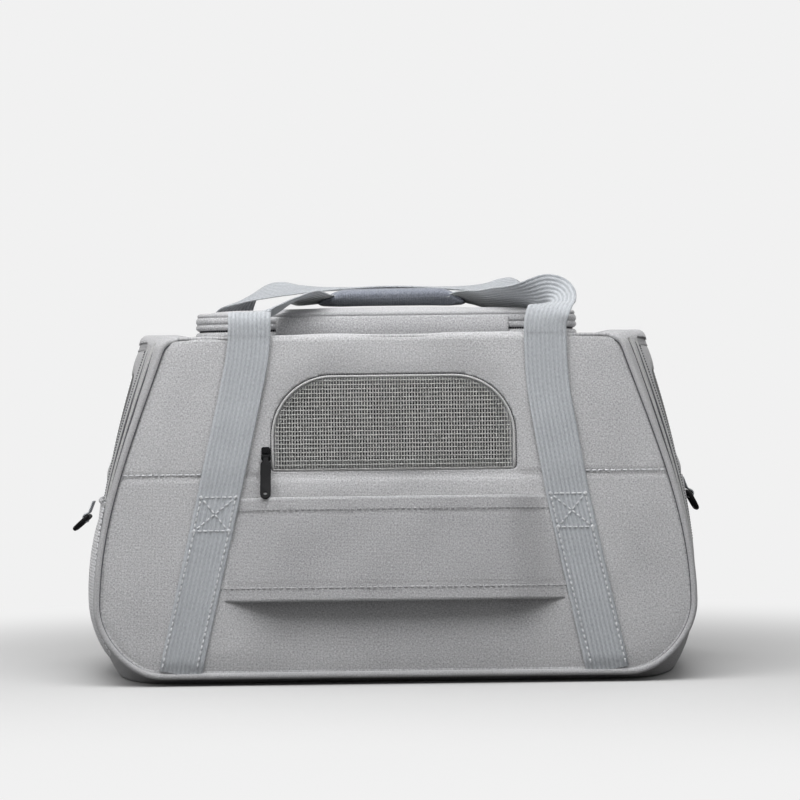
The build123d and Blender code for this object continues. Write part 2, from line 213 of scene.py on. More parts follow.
def clipped(points, keep, uv):
    """The grid's surface where keep is positive, cut cleanly along keep = 0: points, faces, uv."""
    rows, cols = keep.shape
    flat = [tuple(p) for p in points.reshape(-1, 3)]
    pairs = [tuple(p) for p in uv.reshape(-1, 2)]
    value = keep.ravel()
    cuts = {}

    def cut(a, b):
        key = (min(a, b), max(a, b))
        if key not in cuts:
            share = value[a] / (value[a] - value[b])
            cuts[key] = len(flat)
            flat.append(tuple(p + share * (q - p) for p, q in zip(flat[a], flat[b])))
            pairs.append(tuple(p + share * (q - p) for p, q in zip(pairs[a], pairs[b])))
        return cuts[key]

    faces = []
    for quad in grid_faces(rows, cols):
        inside = [value[i] > 0 for i in quad]
        if all(inside):
            faces.append(quad)
            continue
        if not any(inside):
            continue
        ring = []
        for n, a in enumerate(quad):
            b = quad[(n + 1) % 4]
            if value[a] > 0:
                ring.append(a)
            if (value[a] > 0) != (value[b] > 0):
                ring.append(cut(a, b))
        faces.append(tuple(ring))
    used = sorted({i for face in faces for i in face})
    place = {old: new for new, old in enumerate(used)}
    kept = np.array([flat[i] for i in used])
    kept_uv = np.array([pairs[i] for i in used])
    return kept, [tuple(place[i] for i in face) for face in faces], kept_uv


def thicken(piece, thickness, offset=-1.0):
    """Gives a sheet its thickness."""
    modifier = piece.modifiers.new("thickness", "SOLIDIFY")
    modifier.thickness = thickness
    modifier.offset = offset
    return piece


def cut_sheet(name, points, keep, uv, thickness, offset):
    """The part of a grid where keep is positive, as cloth of that thickness."""
    kept, faces, uv = clipped(points, keep, uv)
    return thicken(mesh_object(name, kept, faces, uv), thickness, offset)


def finish_piece(piece, material, body, stands_for=()):
    """Material, body and the CAD nodes that the piece stands for."""
    piece.data.materials.append(material)
    if body:
        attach(piece, body)
    if stands_for:
        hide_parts(*stands_for)
    return piece


def stack(*parts):
    """Values of the same or fitting shapes as one array of places."""
    return np.stack(np.broadcast_arrays(*parts), axis=-1)


def lengths(line):
    """Length of each step along a line."""
    return np.linalg.norm(np.diff(line, axis=0), axis=1)


def run_along(line):
    """Distance along a line at each of its points."""
    return np.concatenate([[0], np.cumsum(lengths(line))])


def resample(line, count):
    """The line with that many evenly spaced points."""
    run = run_along(line)
    at = np.linspace(0, run[-1], count)
    return np.stack([np.interp(at, run, line[:, k]) for k in range(line.shape[1])], axis=1)


def evenly(line, step, closed=False):
    """The line's points respaced by about step."""
    line = np.asarray(line, float)
    if closed:
        line = np.vstack([line, line[:1]])
    count = max(2, int(round(run_along(line)[-1] / step)) + 1)
    spaced = resample(line, count)
    return spaced[:-1] if closed else spaced


def smooth_path(points, step):
    """A smooth line through the points, evenly spaced."""
    p = np.array(points, float)
    ends = np.vstack([2 * p[0] - p[1], p, 2 * p[-1] - p[-2]])
    line = []
    for i in range(1, len(ends) - 2):
        a, b, c, d = ends[i - 1:i + 3]
        for s in np.linspace(0, 1, 24, endpoint=False):
            line.append(0.5 * (2 * b + (c - a) * s + (2 * a - 5 * b + 4 * c - d) * s**2
                               + (3 * b - a - 3 * c + d) * s**3))
    line.append(p[-1])
    return evenly(np.array(line), step)


def unit(vectors):
    """Each row at length 1."""
    return vectors / np.maximum(np.linalg.norm(vectors, axis=-1, keepdims=True), 1e-12)


def tangents(line, closed=False):
    """Unit direction of the line at each point."""
    if closed:
        return unit(np.roll(line, -1, axis=0) - np.roll(line, 1, axis=0))
    return unit(np.gradient(line, axis=0))


def outward_of(line, centre=(0, 0), closed=False):
    """Unit directions across a flat line, pointing away from a centre."""
    along = tangents(line, closed)
    out = stack(along[:, 1], -along[:, 0])
    return out * np.sign(np.sum(out * (line - centre), axis=1))[:, None]


def tube(name, line, radius, sides=10, closed=False):
    """A round tube along a line."""
    along = tangents(line, closed)
    guide = np.tile([0.0, 1.0, 0.0], (len(line), 1))
    side = unit(np.cross(along, guide))
    other = np.cross(along, side)
    angle = np.linspace(0, 2 * math.pi, sides, endpoint=False)
    ring = (np.cos(angle)[None, :, None] * side[:, None] + np.sin(angle)[None, :, None] * other[:, None])
    points = line[:, None] + radius * ring
    run = np.arange(len(line))[:, None] * np.linalg.norm(line[1] - line[0])
    uv = stack(angle[None] * radius, run)
    if not closed:
        return loft(name, points, uv)
    return mesh_object(name, points, grid_faces(len(line), sides, close_rows=True, close_cols=True), uv)


def ribbon(name, line, across, width=WEBBING, thickness=WEBBING_THICKNESS, ribs=RIBS):
    """Ribbed webbing along a line; across is the direction of its width at each point."""
    along = tangents(line)
    across = unit(across - np.sum(across * along, axis=1, keepdims=True) * along)
    up = np.cross(across, along)
    share = np.linspace(-1, 1, 6 * ribs + 1)
    crown = 0.5 * thickness * (1 - 0.55 * np.abs(share) ** 14)
    ridge = 0.00028 * (np.cos(share * math.pi * ribs) - 1) / 2
    top = crown + ridge
    loop_x = np.concatenate([share, share[::-1]]) * width / 2
    loop_z = np.concatenate([top, -top[::-1]])
    points = line[:, None] + loop_x[None, :, None] * across[:, None] + loop_z[None, :, None] * up[:, None]
    uv = stack(loop_x[None], run_along(line)[:, None])
    count = len(loop_x)
    faces = grid_faces(len(line), count, close_cols=True)
    total = len(line) * count
    faces.append(tuple(range(total, total + count))[::-1])
    faces.append(tuple(range(total + count, total + 2 * count)))
    whole = np.vstack([points.reshape(-1, 3), points[0], points[-1]])
    whole_uv = np.vstack([uv.reshape(-1, 2), uv[0], uv[-1]])
    return mesh_object(name, whole, faces, whole_uv)


def boxes(name, centres, along, outward, size):
    """Many small rounded blocks, one at each centre: teeth, stitches and the like."""
    along = unit(along)
    outward = unit(outward - np.sum(outward * along, axis=1, keepdims=True) * along)
    across = np.cross(along, outward)
    length, width, height = size
    corners = []
    for h, taper in ((0, 1.0), (0.7, 0.9), (1.0, 0.5)):
        for a, b in ((-1, -1), (1, -1), (1, 1), (-1, 1)):
            corners.append((a * taper * length / 2, b * taper * width / 2, h * height))
    a, b, c = np.array(corners).T[..., None]
    points = centres[:, None] + a * along[:, None] + b * across[:, None] + c * outward[:, None]
    block = [(low + k, low + m, low + 4 + m, low + 4 + k) for low in (0, 4) for k, m in FOUR_SIDES]
    block.append((8, 9, 10, 11))
    faces = [tuple(start + i for i in face) for start in range(0, 12 * len(centres), 12) for face in block]
    return mesh_object(name, points, faces)


def join(name, pieces):
    """Several mesh objects as one, with all their faces and UVs."""
    with bpy.context.temp_override(active_object=pieces[0], selected_editable_objects=pieces):
        bpy.ops.object.join()
    pieces[0].name = name
    return pieces[0]


# ---- Materials
def shader(name, roughness, sheen=0.0, gloss=0.3):
    """A new material: itself, its tree and its shader node."""
    made = bpy.data.materials.new(name)
    made.use_nodes = True
    node = made.node_tree.nodes["Principled BSDF"]
    node.inputs["Roughness"].default_value = roughness
    node.inputs["Sheen Weight"].default_value = sheen
    node.inputs["Sheen Roughness"].default_value = 0.5
    node.inputs["Specular IOR Level"].default_value = gloss
    return made, made.node_tree, node


def coordinates(tree, kind):
    """Metres over the surface: its own UV, or places in the row frame."""
    return tree.nodes.new("ShaderNodeTexCoord").outputs[kind]


def mapped(tree, source, socket, value):
    """Coordinates turned or scaled by one socket of a mapping."""
    mapping = tree.nodes.new("ShaderNodeMapping")
    mapping.inputs[socket].default_value = value
    tree.links.new(source, mapping.inputs["Vector"])
    return mapping.outputs["Vector"]


def grain(tree, place, scale, detail):
    """Noise as a value; scale is one number, or one for each axis."""
    node = tree.nodes.new("ShaderNodeTexNoise")
    node.inputs["Scale"].default_value = 1.0
    node.inputs["Detail"].default_value = detail
    tree.links.new(mapped(tree, place, "Scale", np.broadcast_to(scale, 3)), node.inputs["Vector"])
    return node.outputs["Fac"]


def bands(tree, place, scale, direction, phase=0.0):
    """Even waves as a value."""
    node = tree.nodes.new("ShaderNodeTexWave")
    node.bands_direction = direction
    node.inputs["Scale"].default_value = scale
    node.inputs["Phase Offset"].default_value = phase
    tree.links.new(place, node.inputs["Vector"])
    return node.outputs["Fac"]


def mixed(tree, operation, first, second):
    """Two values combined."""
    node = tree.nodes.new("ShaderNodeMath")
    node.operation = operation
    for socket, value in zip(node.inputs, (first, second)):
        if isinstance(value, (int, float)):
            socket.default_value = value
        else:
            tree.links.new(value, socket)
    return node.outputs[0]


def weighted(tree, parts):
    """A sum of values, each times its weight."""
    total = None
    for value, weight in parts:
        part = mixed(tree, "MULTIPLY", value, weight)
        total = part if total is None else mixed(tree, "ADD", total, part)
    return total


def ramp(tree, value, low, high):
    """A colour ramp over a value, between two (place, colour) stops."""
    node = tree.nodes.new("ShaderNodeValToRGB")
    for element, (place, colour) in zip(node.color_ramp.elements, (low, high)):
        element.position = place
        element.color = (*colour, 1)
    tree.links.new(value, node.inputs["Fac"])
    return node.outputs["Color"]


def surface(tree, node, value, low, high, height, relief):
    """Colours a shader by a ramp over a value, and raises it by a height."""
    tree.links.new(ramp(tree, value, low, high), node.inputs["Base Color"])
    made = tree.nodes.new("ShaderNodeBump")
    made.inputs["Distance"].default_value = relief
    tree.links.new(height, made.inputs["Height"])
    tree.links.new(made.outputs["Normal"], node.inputs["Normal"])


def woven(name, dark, light, pitch=0.0010, kind="UV"):
    """Plain heather weave: yarns of two greys crossing, with flecks and worn patches."""
    made, tree, node = shader(name, 0.88, 0.2)
    place = coordinates(tree, kind)
    scale = 2 * math.pi / (20 * pitch)
    warp, weft = (bands(tree, place, scale, direction) for direction in "XY")
    long, fine = 620, 1700
    warp_flecks, weft_flecks = (grain(tree, place, scale, 2.0)
                                for scale in ((fine, long, long), (long, fine, fine)))
    flecks = mixed(tree, "MULTIPLY", mixed(tree, "ADD", warp_flecks, weft_flecks), 0.5)
    tone = mixed(tree, "ADD", flecks, mixed(tree, "MULTIPLY", grain(tree, place, 16, 3.0), 0.12))
    height = mixed(tree, "ADD", mixed(tree, "MULTIPLY", warp, weft), flecks)
    surface(tree, node, tone, (0.41, dark), (0.71, light), height, 0.00016)
    return made


def webbing(name, dark, light):
    """Ribbed webbing: shaded grooves between raised ribs and a fine twill along them."""
    made, tree, node = shader(name, 0.72, 0.25)
    place = coordinates(tree, "UV")
    ribs = bands(tree, place, 2 * math.pi / (20 * WEBBING / RIBS), "X", math.pi / 2)
    twill = bands(tree, place, 420.0, "DIAGONAL")
    spun, patches = grain(tree, place, (1300, 500, 500), 3.0), grain(tree, place, 25, 2.0)
    tone = weighted(tree, ((ribs, 0.22), (spun, 0.75), (patches, 0.25)))
    height = mixed(tree, "ADD", ribs, mixed(tree, "MULTIPLY", twill, 0.35))
    surface(tree, node, tone, (0.36, dark), (0.86, light), height, 0.0002)
    return made


def grained(name, dark, light, roughness=0.6, sheen=0.2, scale=900, detail=2.0, relief=0.0001):
    """One even grain in two tones: spun thread, or the curls of a fleece."""
    made, tree, node = shader(name, roughness, sheen)
    value = grain(tree, coordinates(tree, "Object"), scale, detail)
    surface(tree, node, value, (0.35, dark), (0.65, light), value, relief)
    return made


def knit(name, hole, yarn):
    """Open diamond knit of the end pocket: bright yarn round dark holes."""
    made, tree, node = shader(name, 0.85, 0.2)
    turned = mapped(tree, coordinates(tree, "UV"), "Rotation", (0, 0, math.radians(45)))
    one, two = (bands(tree, turned, 105.0, direction) for direction in "XY")
    yarns = mixed(tree, "MAXIMUM", one, two)
    surface(tree, node, yarns, (0.55, hole), (0.8, yarn), yarns, 0.0009)
    return made


def enamel(name, colour, roughness=0.5):
    """Enamelled metal or moulded plastic: faint orange peel, lighter worn patches and uneven gloss."""
    made, tree, node = shader(name, roughness, gloss=0.08)
    place = coordinates(tree, "Object")
    peel, patches = grain(tree, place, 700, 2.0), grain(tree, place, 90, 4.0)
    worn = tuple(min(1.0, c * 1.8 + 0.008) for c in colour)
    surface(tree, node, patches, (0.4, colour), (0.75, worn), peel, 0.00004)
    uneven = tree.nodes.new("ShaderNodeMapRange")
    uneven.inputs["To Min"].default_value = roughness - 0.1
    uneven.inputs["To Max"].default_value = roughness + 0.15
    tree.links.new(patches, uneven.inputs["Value"])
    tree.links.new(uneven.outputs["Result"], node.inputs["Roughness"])
    return made


heather = woven("heather_grey", (0.29, 0.29, 0.30), (0.62, 0.62, 0.63))
# A darker copy of the panels' heather: painted shade on the ends, top, base, door leaves, lid walls and
# hinge.
heather_shaded_copy = woven("heather_gusset_shaded", (0.25, 0.25, 0.26), (0.56, 0.56, 0.57))
sleeve_cloth = woven("heather_sleeve", (0.27, 0.27, 0.28), (0.54, 0.54, 0.55))
welt = woven("piping_tape", (0.32, 0.32, 0.33), (0.52, 0.52, 0.53), pitch=0.0009)
pale_trim = woven("trim_tape", (0.36, 0.36, 0.36), (0.60, 0.60, 0.60), pitch=0.0008)
tape = woven("zip_tape", (0.20, 0.20, 0.21), (0.38, 0.38, 0.39), pitch=0.0008)
grip_cloth = woven("grip_cloth", (0.14, 0.15, 0.185), (0.28, 0.30, 0.345), pitch=0.0013, kind="Object")
strap_cloth = webbing("grey_webbing", (0.27, 0.285, 0.305), (0.50, 0.52, 0.545))
stitch_thread = grained("stitch_thread", (0.50, 0.51, 0.53), (0.73, 0.74, 0.76))
hem_thread = grained("hem_thread", (0.30, 0.30, 0.31), (0.46, 0.46, 0.47))
mesh_thread = grained("mesh_thread", (0.31, 0.31, 0.30), (0.55, 0.55, 0.535))
# Near-black thread: painted shade, so the bag's inside seen through the near window's mesh reads dark; the
# far window's net and the doors' nets use it.
far_thread_painted_shade = grained("dense_mesh_thread", (0.035, 0.035, 0.036), (0.085, 0.085, 0.086))
# Near-black thread for thin tubes laid in seams and cord grooves: painted shade there.
seam_painted_shade = grained("seam_painted_shade", (0.06, 0.06, 0.065), (0.12, 0.12, 0.13))
fleece = grained("bed_fleece", (0.55, 0.54, 0.51), (0.84, 0.83, 0.80), 0.95, 0.6, 320, 6.0, 0.0016)
pocket_knit = knit("pocket_knit", (0.42, 0.42, 0.43), (0.92, 0.92, 0.94))
coil = enamel("zip_coil", (0.08, 0.08, 0.085))
black = enamel("black_enamel", (0.004, 0.004, 0.0045))
board_finish = enamel("base_board", (0.05, 0.05, 0.055), 0.6)


# ---- Shapes that the pieces share
def hermite(start, end, leave, arrive, count):
    """A smooth run between two points with its directions at the ends."""
    s = np.linspace(0, 1, count)[:, None]
    start, end = np.array(start, float), np.array(end, float)
    size = np.linalg.norm(end - start)
    leave = np.array(leave, float) / np.linalg.norm(leave) * size
    arrive = np.array(arrive, float) / np.linalg.norm(arrive) * size
    return ((2 * s**3 - 3 * s**2 + 1) * start + (s**3 - 2 * s**2 + s) * leave
            + (3 * s**2 - 2 * s**3) * end + (s**3 - s**2) * arrive)


def half_outline(top_half, belly_half, low, shoulder):
    """Right half of the bag seen end-on, from the middle of its top round to the middle of its base."""
    corner = (top_half, BAG_HEIGHT)
    belly = (belly_half, BELLY_HEIGHT)
    heel = (belly_half - CORNER_REACH, low)
    side = hermite(corner, belly, (SIDE_LEAN, -1), (0, -1), 400)
    side = resample(side[side[:, 1] < BAG_HEIGHT - shoulder], 78)
    bend = hermite((top_half - shoulder, BAG_HEIGHT), side[0], (1, 0), side[1] - side[0], 9)
    turn = resample(hermite(belly, heel, (0, -1), (-1, 0), 60), 28)
    top = np.linspace((0, BAG_HEIGHT), bend[0], FLAT_POINTS)
    base = np.linspace(heel, (0, low), FLAT_POINTS)
    return np.vstack([top[:-1], bend[:-1], side[:-1], turn[:-1], base])


near_outline = half_outline(PANEL_TOP_HALF, PANEL_BELLY_HALF, PANEL_LOW, SHOULDER)
mid_outline = half_outline(PANEL_TOP_HALF + END_BULGE_TOP, PANEL_BELLY_HALF + END_BULGE_BELLY, -BASE_DROOP,
                           MID_SHOULDER)


def half_width(outline, z):
    """Half the bag's length at a height, on one of its outlines."""
    run = outline[FLAT_POINTS - 1:1 - FLAT_POINTS]
    return np.interp(-np.asarray(z), -run[:, 1], run[:, 0])


def half_depth(z):
    """Half the bag's depth at a height."""
    return BASE_HALF_DEPTH - (BASE_HALF_DEPTH - TOP_HALF_DEPTH) * np.asarray(z) / BAG_HEIGHT


def panel_point(side, x, z, lift=0.0):
    """A point on the near (-1) or far (+1) panel, lifted off its face; above its fold it lies on the top."""
    x, z, lift = np.broadcast_arrays(np.asarray(x, float), z, lift)
    fold = BAG_HEIGHT - TOP_FOLD
    past = np.maximum(z - fold, 0)
    turn = np.minimum(past / TOP_FOLD, math.pi / 2)
    flat = np.maximum(past - TOP_FOLD * math.pi / 2, 0)
    plain = z < fold
    lean = np.where(plain, LEAN, turn)
    depth = np.where(plain, half_depth(z), half_depth(fold) - TOP_FOLD * (1 - np.cos(turn)) - flat)
    height = np.where(plain, z, fold + TOP_FOLD * np.sin(turn))
    y = side * (depth + lift * np.cos(lean))
    return stack(x, y, height + lift * np.sin(lean))


def end_point(side, y, z, lift=0.0):
    """A point on the left (-1) or right (+1) end, lifted off its surface."""
    y, z, lift = np.broadcast_arrays(np.asarray(y, float), z, lift)
    share = y / half_depth(z)
    x = half_width(mid_outline, z) * (1 - share**2) + half_width(near_outline, z) * share**2
    slope_z = (half_width(mid_outline, z + 0.002) - half_width(mid_outline, z - 0.002)) / 0.004
    slope_y = 2 * share / half_depth(z) * (half_width(near_outline, z) - half_width(mid_outline, z))
    size = np.sqrt(1 + slope_z**2 + slope_y**2)
    return stack(side * (x + lift / size), y - lift * slope_y / size, z - lift * slope_z / size)


def box_distance(x, y, half_x, half_y, corner):
    """Distance outside a rounded rectangle about the origin, negative inside."""
    a = np.abs(x) - (half_x - corner)
    b = np.abs(y) - (half_y - corner)
    return np.hypot(np.maximum(a, 0), np.maximum(b, 0)) + np.minimum(np.maximum(a, b), 0) - corner


def gate_distance(x, z, half, low, high, corner):
    """Distance outside an opening with a straight foot and round upper corners, negative inside."""
    tall = 2 * (high - low)
    return np.maximum(box_distance(x, z - high + tall / 2, half, tall / 2, corner), low - z)


def line_distance(x, z, line):
    """Distance from each place to the nearest point of a closely spaced line."""
    flat = stack(x.ravel(), z.ravel())
    best = np.full(len(flat), np.inf)
    for part in np.array_split(line, 12):
        gap = np.linalg.norm(flat[:, None] - part[None], axis=2).min(axis=1)
        best = np.minimum(best, gap)
    return best.reshape(x.shape)


def gate_line(half, low, high, corner, step=0.002):
    """The sides and top of such an opening as a line of (x, z), from its left foot to its right foot."""
    angle = np.linspace(0, math.pi / 2, 24)
    left = stack(-half + corner - corner * np.cos(angle), high - corner + corner * np.sin(angle))
    right = left[::-1] * [-1, 1]
    return evenly(np.vstack([[(-half, low)], left, right, [(half, low)]]), step)


def rounded_line(half_x, half_y, corner, step=0.002):
    """A rounded rectangle as a closed line of (x, y)."""
    angle = np.linspace(0, math.pi / 2, 16)
    arc = stack(np.cos(angle), np.sin(angle)) * corner + [half_x - corner, half_y - corner]
    quarter = [arc, arc[::-1] * [-1, 1], -arc, arc[::-1] * [1, -1]]
    return evenly(np.vstack(quarter), step, closed=True)


def strap_centre(z, sign=-1):
    """Distance of the left (-1) or right (+1) strap's centre line from the middle, at a height."""
    left = np.interp(z, STRAP_HEIGHTS, LEFT_STRAP)
    right = np.interp(z, STRAP_HEIGHTS, RIGHT_STRAP)
    return np.where(np.asarray(sign) < 0, left, right)


def wrinkle_line(a, b):
    """Slight waves of the window's mesh."""
    return 0.0005 * np.sin(a / 0.011 + 1.3) * np.sin(b / 0.017)


def wrinkle(points, size, height, seed):
    """Soft uneven relief at each point, the same each run."""
    offset = Vector((seed * 7.3, seed * 3.1, seed * 1.7))
    relief = [height * noise.noise(Vector(p) / size + offset) for p in points.reshape(-1, 3)]
    return np.reshape(relief, points.shape[:-1])


def panel_outward(side, count):
    """The near or far panel's outward direction, once for each of so many points."""
    return np.tile([0.0, side * math.cos(LEAN), math.sin(LEAN)], (count, 1))


# ---- Body
def make_band():
    """Ends, top and base as one lofted shell, open at the hatch and the two doors."""
    near, mid = (np.vstack([half, half[1:-1][::-1] * [-1, 1], half[:1]])
                 for half in (near_outline, mid_outline))
    share = np.linspace(-1, 1, 97)
    weight = (share**2)[None, :]
    x, z = (near[:, None, k] * weight + mid[:, None, k] * (1 - weight) for k in (0, 1))
    z = np.maximum(z, 0.0004)
    y = half_depth(near[:, 1])[:, None] * share[None, :]
    crown = np.clip((np.abs(x) - 0.139) / 0.02, 0, 1) * np.clip((z - 0.222) / 0.02, 0, 1)
    z = z + END_CROWN * crown * (1 - share**2)[None, :]
    points = stack(x, y, z)
    uv = stack(run_along(mid)[:, None], y)
    hatch = box_distance(x - LID_CENTRE, y, LID_HALF_LENGTH - HATCH_INSET, LID_HALF_DEPTH - HATCH_INSET,
                         LID_CORNER)
    hatch = np.where(z > BAG_HEIGHT - 0.02, hatch, 1.0)
    door = gate_distance(y, z, DOOR_HALF + DOOR_ZIP, DOOR_LOW, DOOR_HIGH + DOOR_ZIP, DOOR_CORNER + DOOR_ZIP)
    door = np.where((np.abs(x) > END_START) & (z < BAG_HEIGHT - 0.001), door, 1.0)
    kept, faces, kept_uv = clipped(points, np.minimum(hatch, door), uv)
    lift = wrinkle(kept, 0.05, 0.0012, 1) + wrinkle(kept, 0.016, 0.0003, 4)
    lift[kept[:, 2] < 0.02] = 0
    kept[:, 0] += np.sign(kept[:, 0]) * lift * (np.abs(kept[:, 0]) > END_START)
    band = thicken(mesh_object("bag_band", kept, faces, kept_uv), FABRIC, -1.0)
    stands_for = ["base_gusset", "top_panel", "left_end_frame", "right_end_frame"]
    return finish_piece(band, heather_shaded_copy, "bag", stands_for)


def make_panel(side, name):
    """A side panel: softly filled between its seams, folded over the top edge, with the window's opening."""
    spread = np.arange(-PANEL_BELLY_HALF - 0.004, PANEL_BELLY_HALF + 0.004, GRID_STEP)
    top = BAG_HEIGHT + TOP_FOLD * 0.57 + 0.007
    rise = np.concatenate([np.arange(PANEL_LOW - 0.003, BAG_HEIGHT - TOP_FOLD, GRID_STEP),
                           np.linspace(BAG_HEIGHT - TOP_FOLD, top + 0.001, 12)])
    x, z = plane(spread, rise)
    edge = line_distance(np.abs(x), z, evenly(near_outline[FLAT_POINTS - 1:], 0.001))
    reach = np.where(z < BAG_HEIGHT, half_width(near_outline, np.clip(z, PANEL_LOW, BAG_HEIGHT)),
                     PANEL_TOP_HALF - SHOULDER)
    inside = (np.abs(x) < reach) & (z > PANEL_LOW)
    edge = np.where(inside, edge, -edge)
    edge = np.where((z > BAG_HEIGHT) & inside, reach - np.abs(x), edge)
    hole = gate_distance(x, z, WINDOW_HALF + WINDOW_GAP, WINDOW_LOW, WINDOW_HIGH + WINDOW_GAP,
                         WINDOW_CORNER + WINDOW_GAP)
    sewn = np.minimum(edge, hole)
    keep = np.minimum(sewn, top - z)
    fill = PANEL_FILL * (1 - np.exp(-np.maximum(sewn, 0) / 0.007))
    seam = SEAM_DIP * np.exp(-((z - CROSS_SEAM) / 0.0013) ** 2)
    flat = stack(x, side * 0.2, z)
    folds = wrinkle(flat, 0.060, 0.0014, 2 + side) + wrinkle(flat, 0.020, 0.0004, 5 + side)
    lift = fill - seam + folds * np.clip(sewn / 0.015, 0, 1)
    points = panel_point(side, x, z, np.minimum(lift, PANEL_LIFT_LIMIT) - PANEL_SINK)
    panel = cut_sheet(name + "_panel", points, keep, stack(x, z), FABRIC * 0.8, side)
    return finish_piece(panel, heather, "bag", [name + "_upper_panel", name + "_lower_panel"])


def make_piping(side, name):
    """Corded welt in the seam round a side panel, with a thin dark tube inside it as painted shade in the
    seam.
    """
    half = evenly(near_outline[FLAT_POINTS - 1:], 0.003)
    whole = np.vstack([half * [-1, 1], half[::-1][1:]])
    run = np.minimum(np.arange(len(whole)), np.arange(len(whole))[::-1]) * 0.003
    sink = 0.0060 * np.clip(1 - run / 0.018, 0, 1) ** 2
    cord = whole + outward_of(whole, PANEL_MIDDLE) * (PIPING_RADIUS * 0.75)
    points = panel_point(side, cord[:, 0], np.minimum(cord[:, 1], BAG_HEIGHT - TOP_FOLD), -0.0004 - sink)
    points[:, 2] = cord[:, 1] - sink
    piping = tube(name + "_welt", points, PIPING_RADIUS, sides=12)
    finish_piece(piping, welt, "bag", [name + "_piping"])
    seat = panel_point(side, whole[:, 0], np.minimum(whole[:, 1], BAG_HEIGHT - TOP_FOLD), 0.0001 - sink)
    seat[:, 2] = whole[:, 1] - 0.0004 - sink
    return finish_piece(tube(name + "_seam_shade", seat, 0.0009, sides=8), seam_painted_shade, "bag")


# ---- Open mesh of crossing threads
def thread_mesh(name, place, low, high, inside, pitch, radius):
    """Threads both ways over a surface: place(a, b, lift) gives points, inside(a, b) is positive within."""
    points = []
    faces = []
    corner = np.array([(1, 0), (0, 1), (-1, 0), (0, -1)])

    def strand(a, b, lift):
        line = place(a, b, lift)
        out = unit(place(a, b, lift + 0.001) - line)
        across = np.cross(tangents(line), out)
        ring = radius * (corner[:, :1] * across[:, None] + corner[:, 1:] * out[:, None])
        start = len(points)
        points.extend((line[:, None] + ring).reshape(-1, 3))
        for low in range(start, len(points) - 4, 4):
            faces.extend((low + k, low + m, low + 4 + m, low + 4 + k) for k, m in FOUR_SIDES)

    for way in (0, 1):
        step = pitch[way]
        count = int((high[way] - low[way]) / step)
        for n in range(count + 1):
            fixed = low[way] + (n + 0.5) * step
            free = np.arange(low[1 - way], high[1 - way], 0.0022)
            held = np.full_like(free, fixed)
            a, b = (held, free) if way == 0 else (free, held)
            keep = inside(a, b) > 0
            if keep.sum() < 2:
                continue
            first = int(np.argmax(keep))
            last = len(keep) - int(np.argmax(keep[::-1]))
            weave = 0.00022 * np.sin(free[first:last] / 0.0022 * math.pi + n * math.pi)
            strand(a[first:last], b[first:last], weave)
    return mesh_object(name, points, faces)


def make_zip(names, line, bed_line, outward, toothed, tooth, bed_size):
    """Coil teeth along part of a line, and the tape under them, which stands for the chain."""
    teeth = boxes(names[0], line[toothed], tangents(line)[toothed], outward[toothed], tooth)
    bed = ribbon(names[1], bed_line, np.cross(tangents(bed_line), outward), *bed_size, ribs=2)
    finish_piece(bed, tape, "bag", [names[2]])
    finish_piece(teeth, coil, "bag")


def make_window(side, name, body):
    """Arched window: covered zip in the panel's edge, narrow trim and mesh on the flap."""
    middle = WINDOW_HALF + WINDOW_GAP / 2
    arch = gate_line(middle, WINDOW_LOW, WINDOW_HIGH + WINDOW_GAP / 2, WINDOW_CORNER + WINDOW_GAP / 2, 0.0017)
    line, bed_line = (panel_point(side, arch[:, 0], arch[:, 1], lift) for lift in (-0.0024, -0.0026))
    names = (name + "_window_zip", name + "_zip_bed", name + "_window_chain")
    make_zip(names, line, bed_line, panel_outward(side, len(arch)), slice(None), WINDOW_TOOTH,
             (0.0100, 0.0010))

    inner = WINDOW_HALF - TRIM_RADIUS
    loop = gate_line(inner, WINDOW_LOW + 0.002, WINDOW_HIGH - TRIM_RADIUS, WINDOW_CORNER - TRIM_RADIUS)
    foot = stack(np.linspace(inner, -inner, 60), WINDOW_LOW + TRIM_RADIUS)
    loop = evenly(np.vstack([loop, foot[1:-1]]), 0.003)
    sunk = 0.0034 * np.clip((WINDOW_LOW + 0.005 - loop[:, 1]) / 0.004, 0, 1)
    trim_line = panel_point(side, loop[:, 0], loop[:, 1], 0.0002 - sunk)
    trim = tube(name + "_window_trim", trim_line, TRIM_RADIUS, sides=8, closed=True)
    finish_piece(trim, pale_trim, body, [name + "_window_tape"])

    def place(a, b, lift):
        share = np.clip(a / WINDOW_HALF, -1, 1)
        swell = 0.0022 * (1 - share**2) + wrinkle_line(a, b)
        return panel_point(side, a, b, lift - 0.0018 + swell)

    def inside(a, b):
        return -gate_distance(a, b, inner, WINDOW_LOW + 0.001, WINDOW_HIGH - TRIM_RADIUS,
                              WINDOW_CORNER - TRIM_RADIUS)

    pitch, radius, finish = NEAR_PITCH, THREAD_RADIUS, mesh_thread
    # The far window's net is near black: painted shade of the inside seen through the near window.
    if side > 0:
        pitch, radius, finish = FAR_PITCH, DENSE_RADIUS, far_thread_painted_shade
    low, high = (-WINDOW_HALF, WINDOW_LOW), (WINDOW_HALF, WINDOW_HIGH)
    net = thread_mesh(name + "_window_net", place, low, high, inside, pitch, radius)
    return finish_piece(net, finish, body, [name + "_window_mesh"])


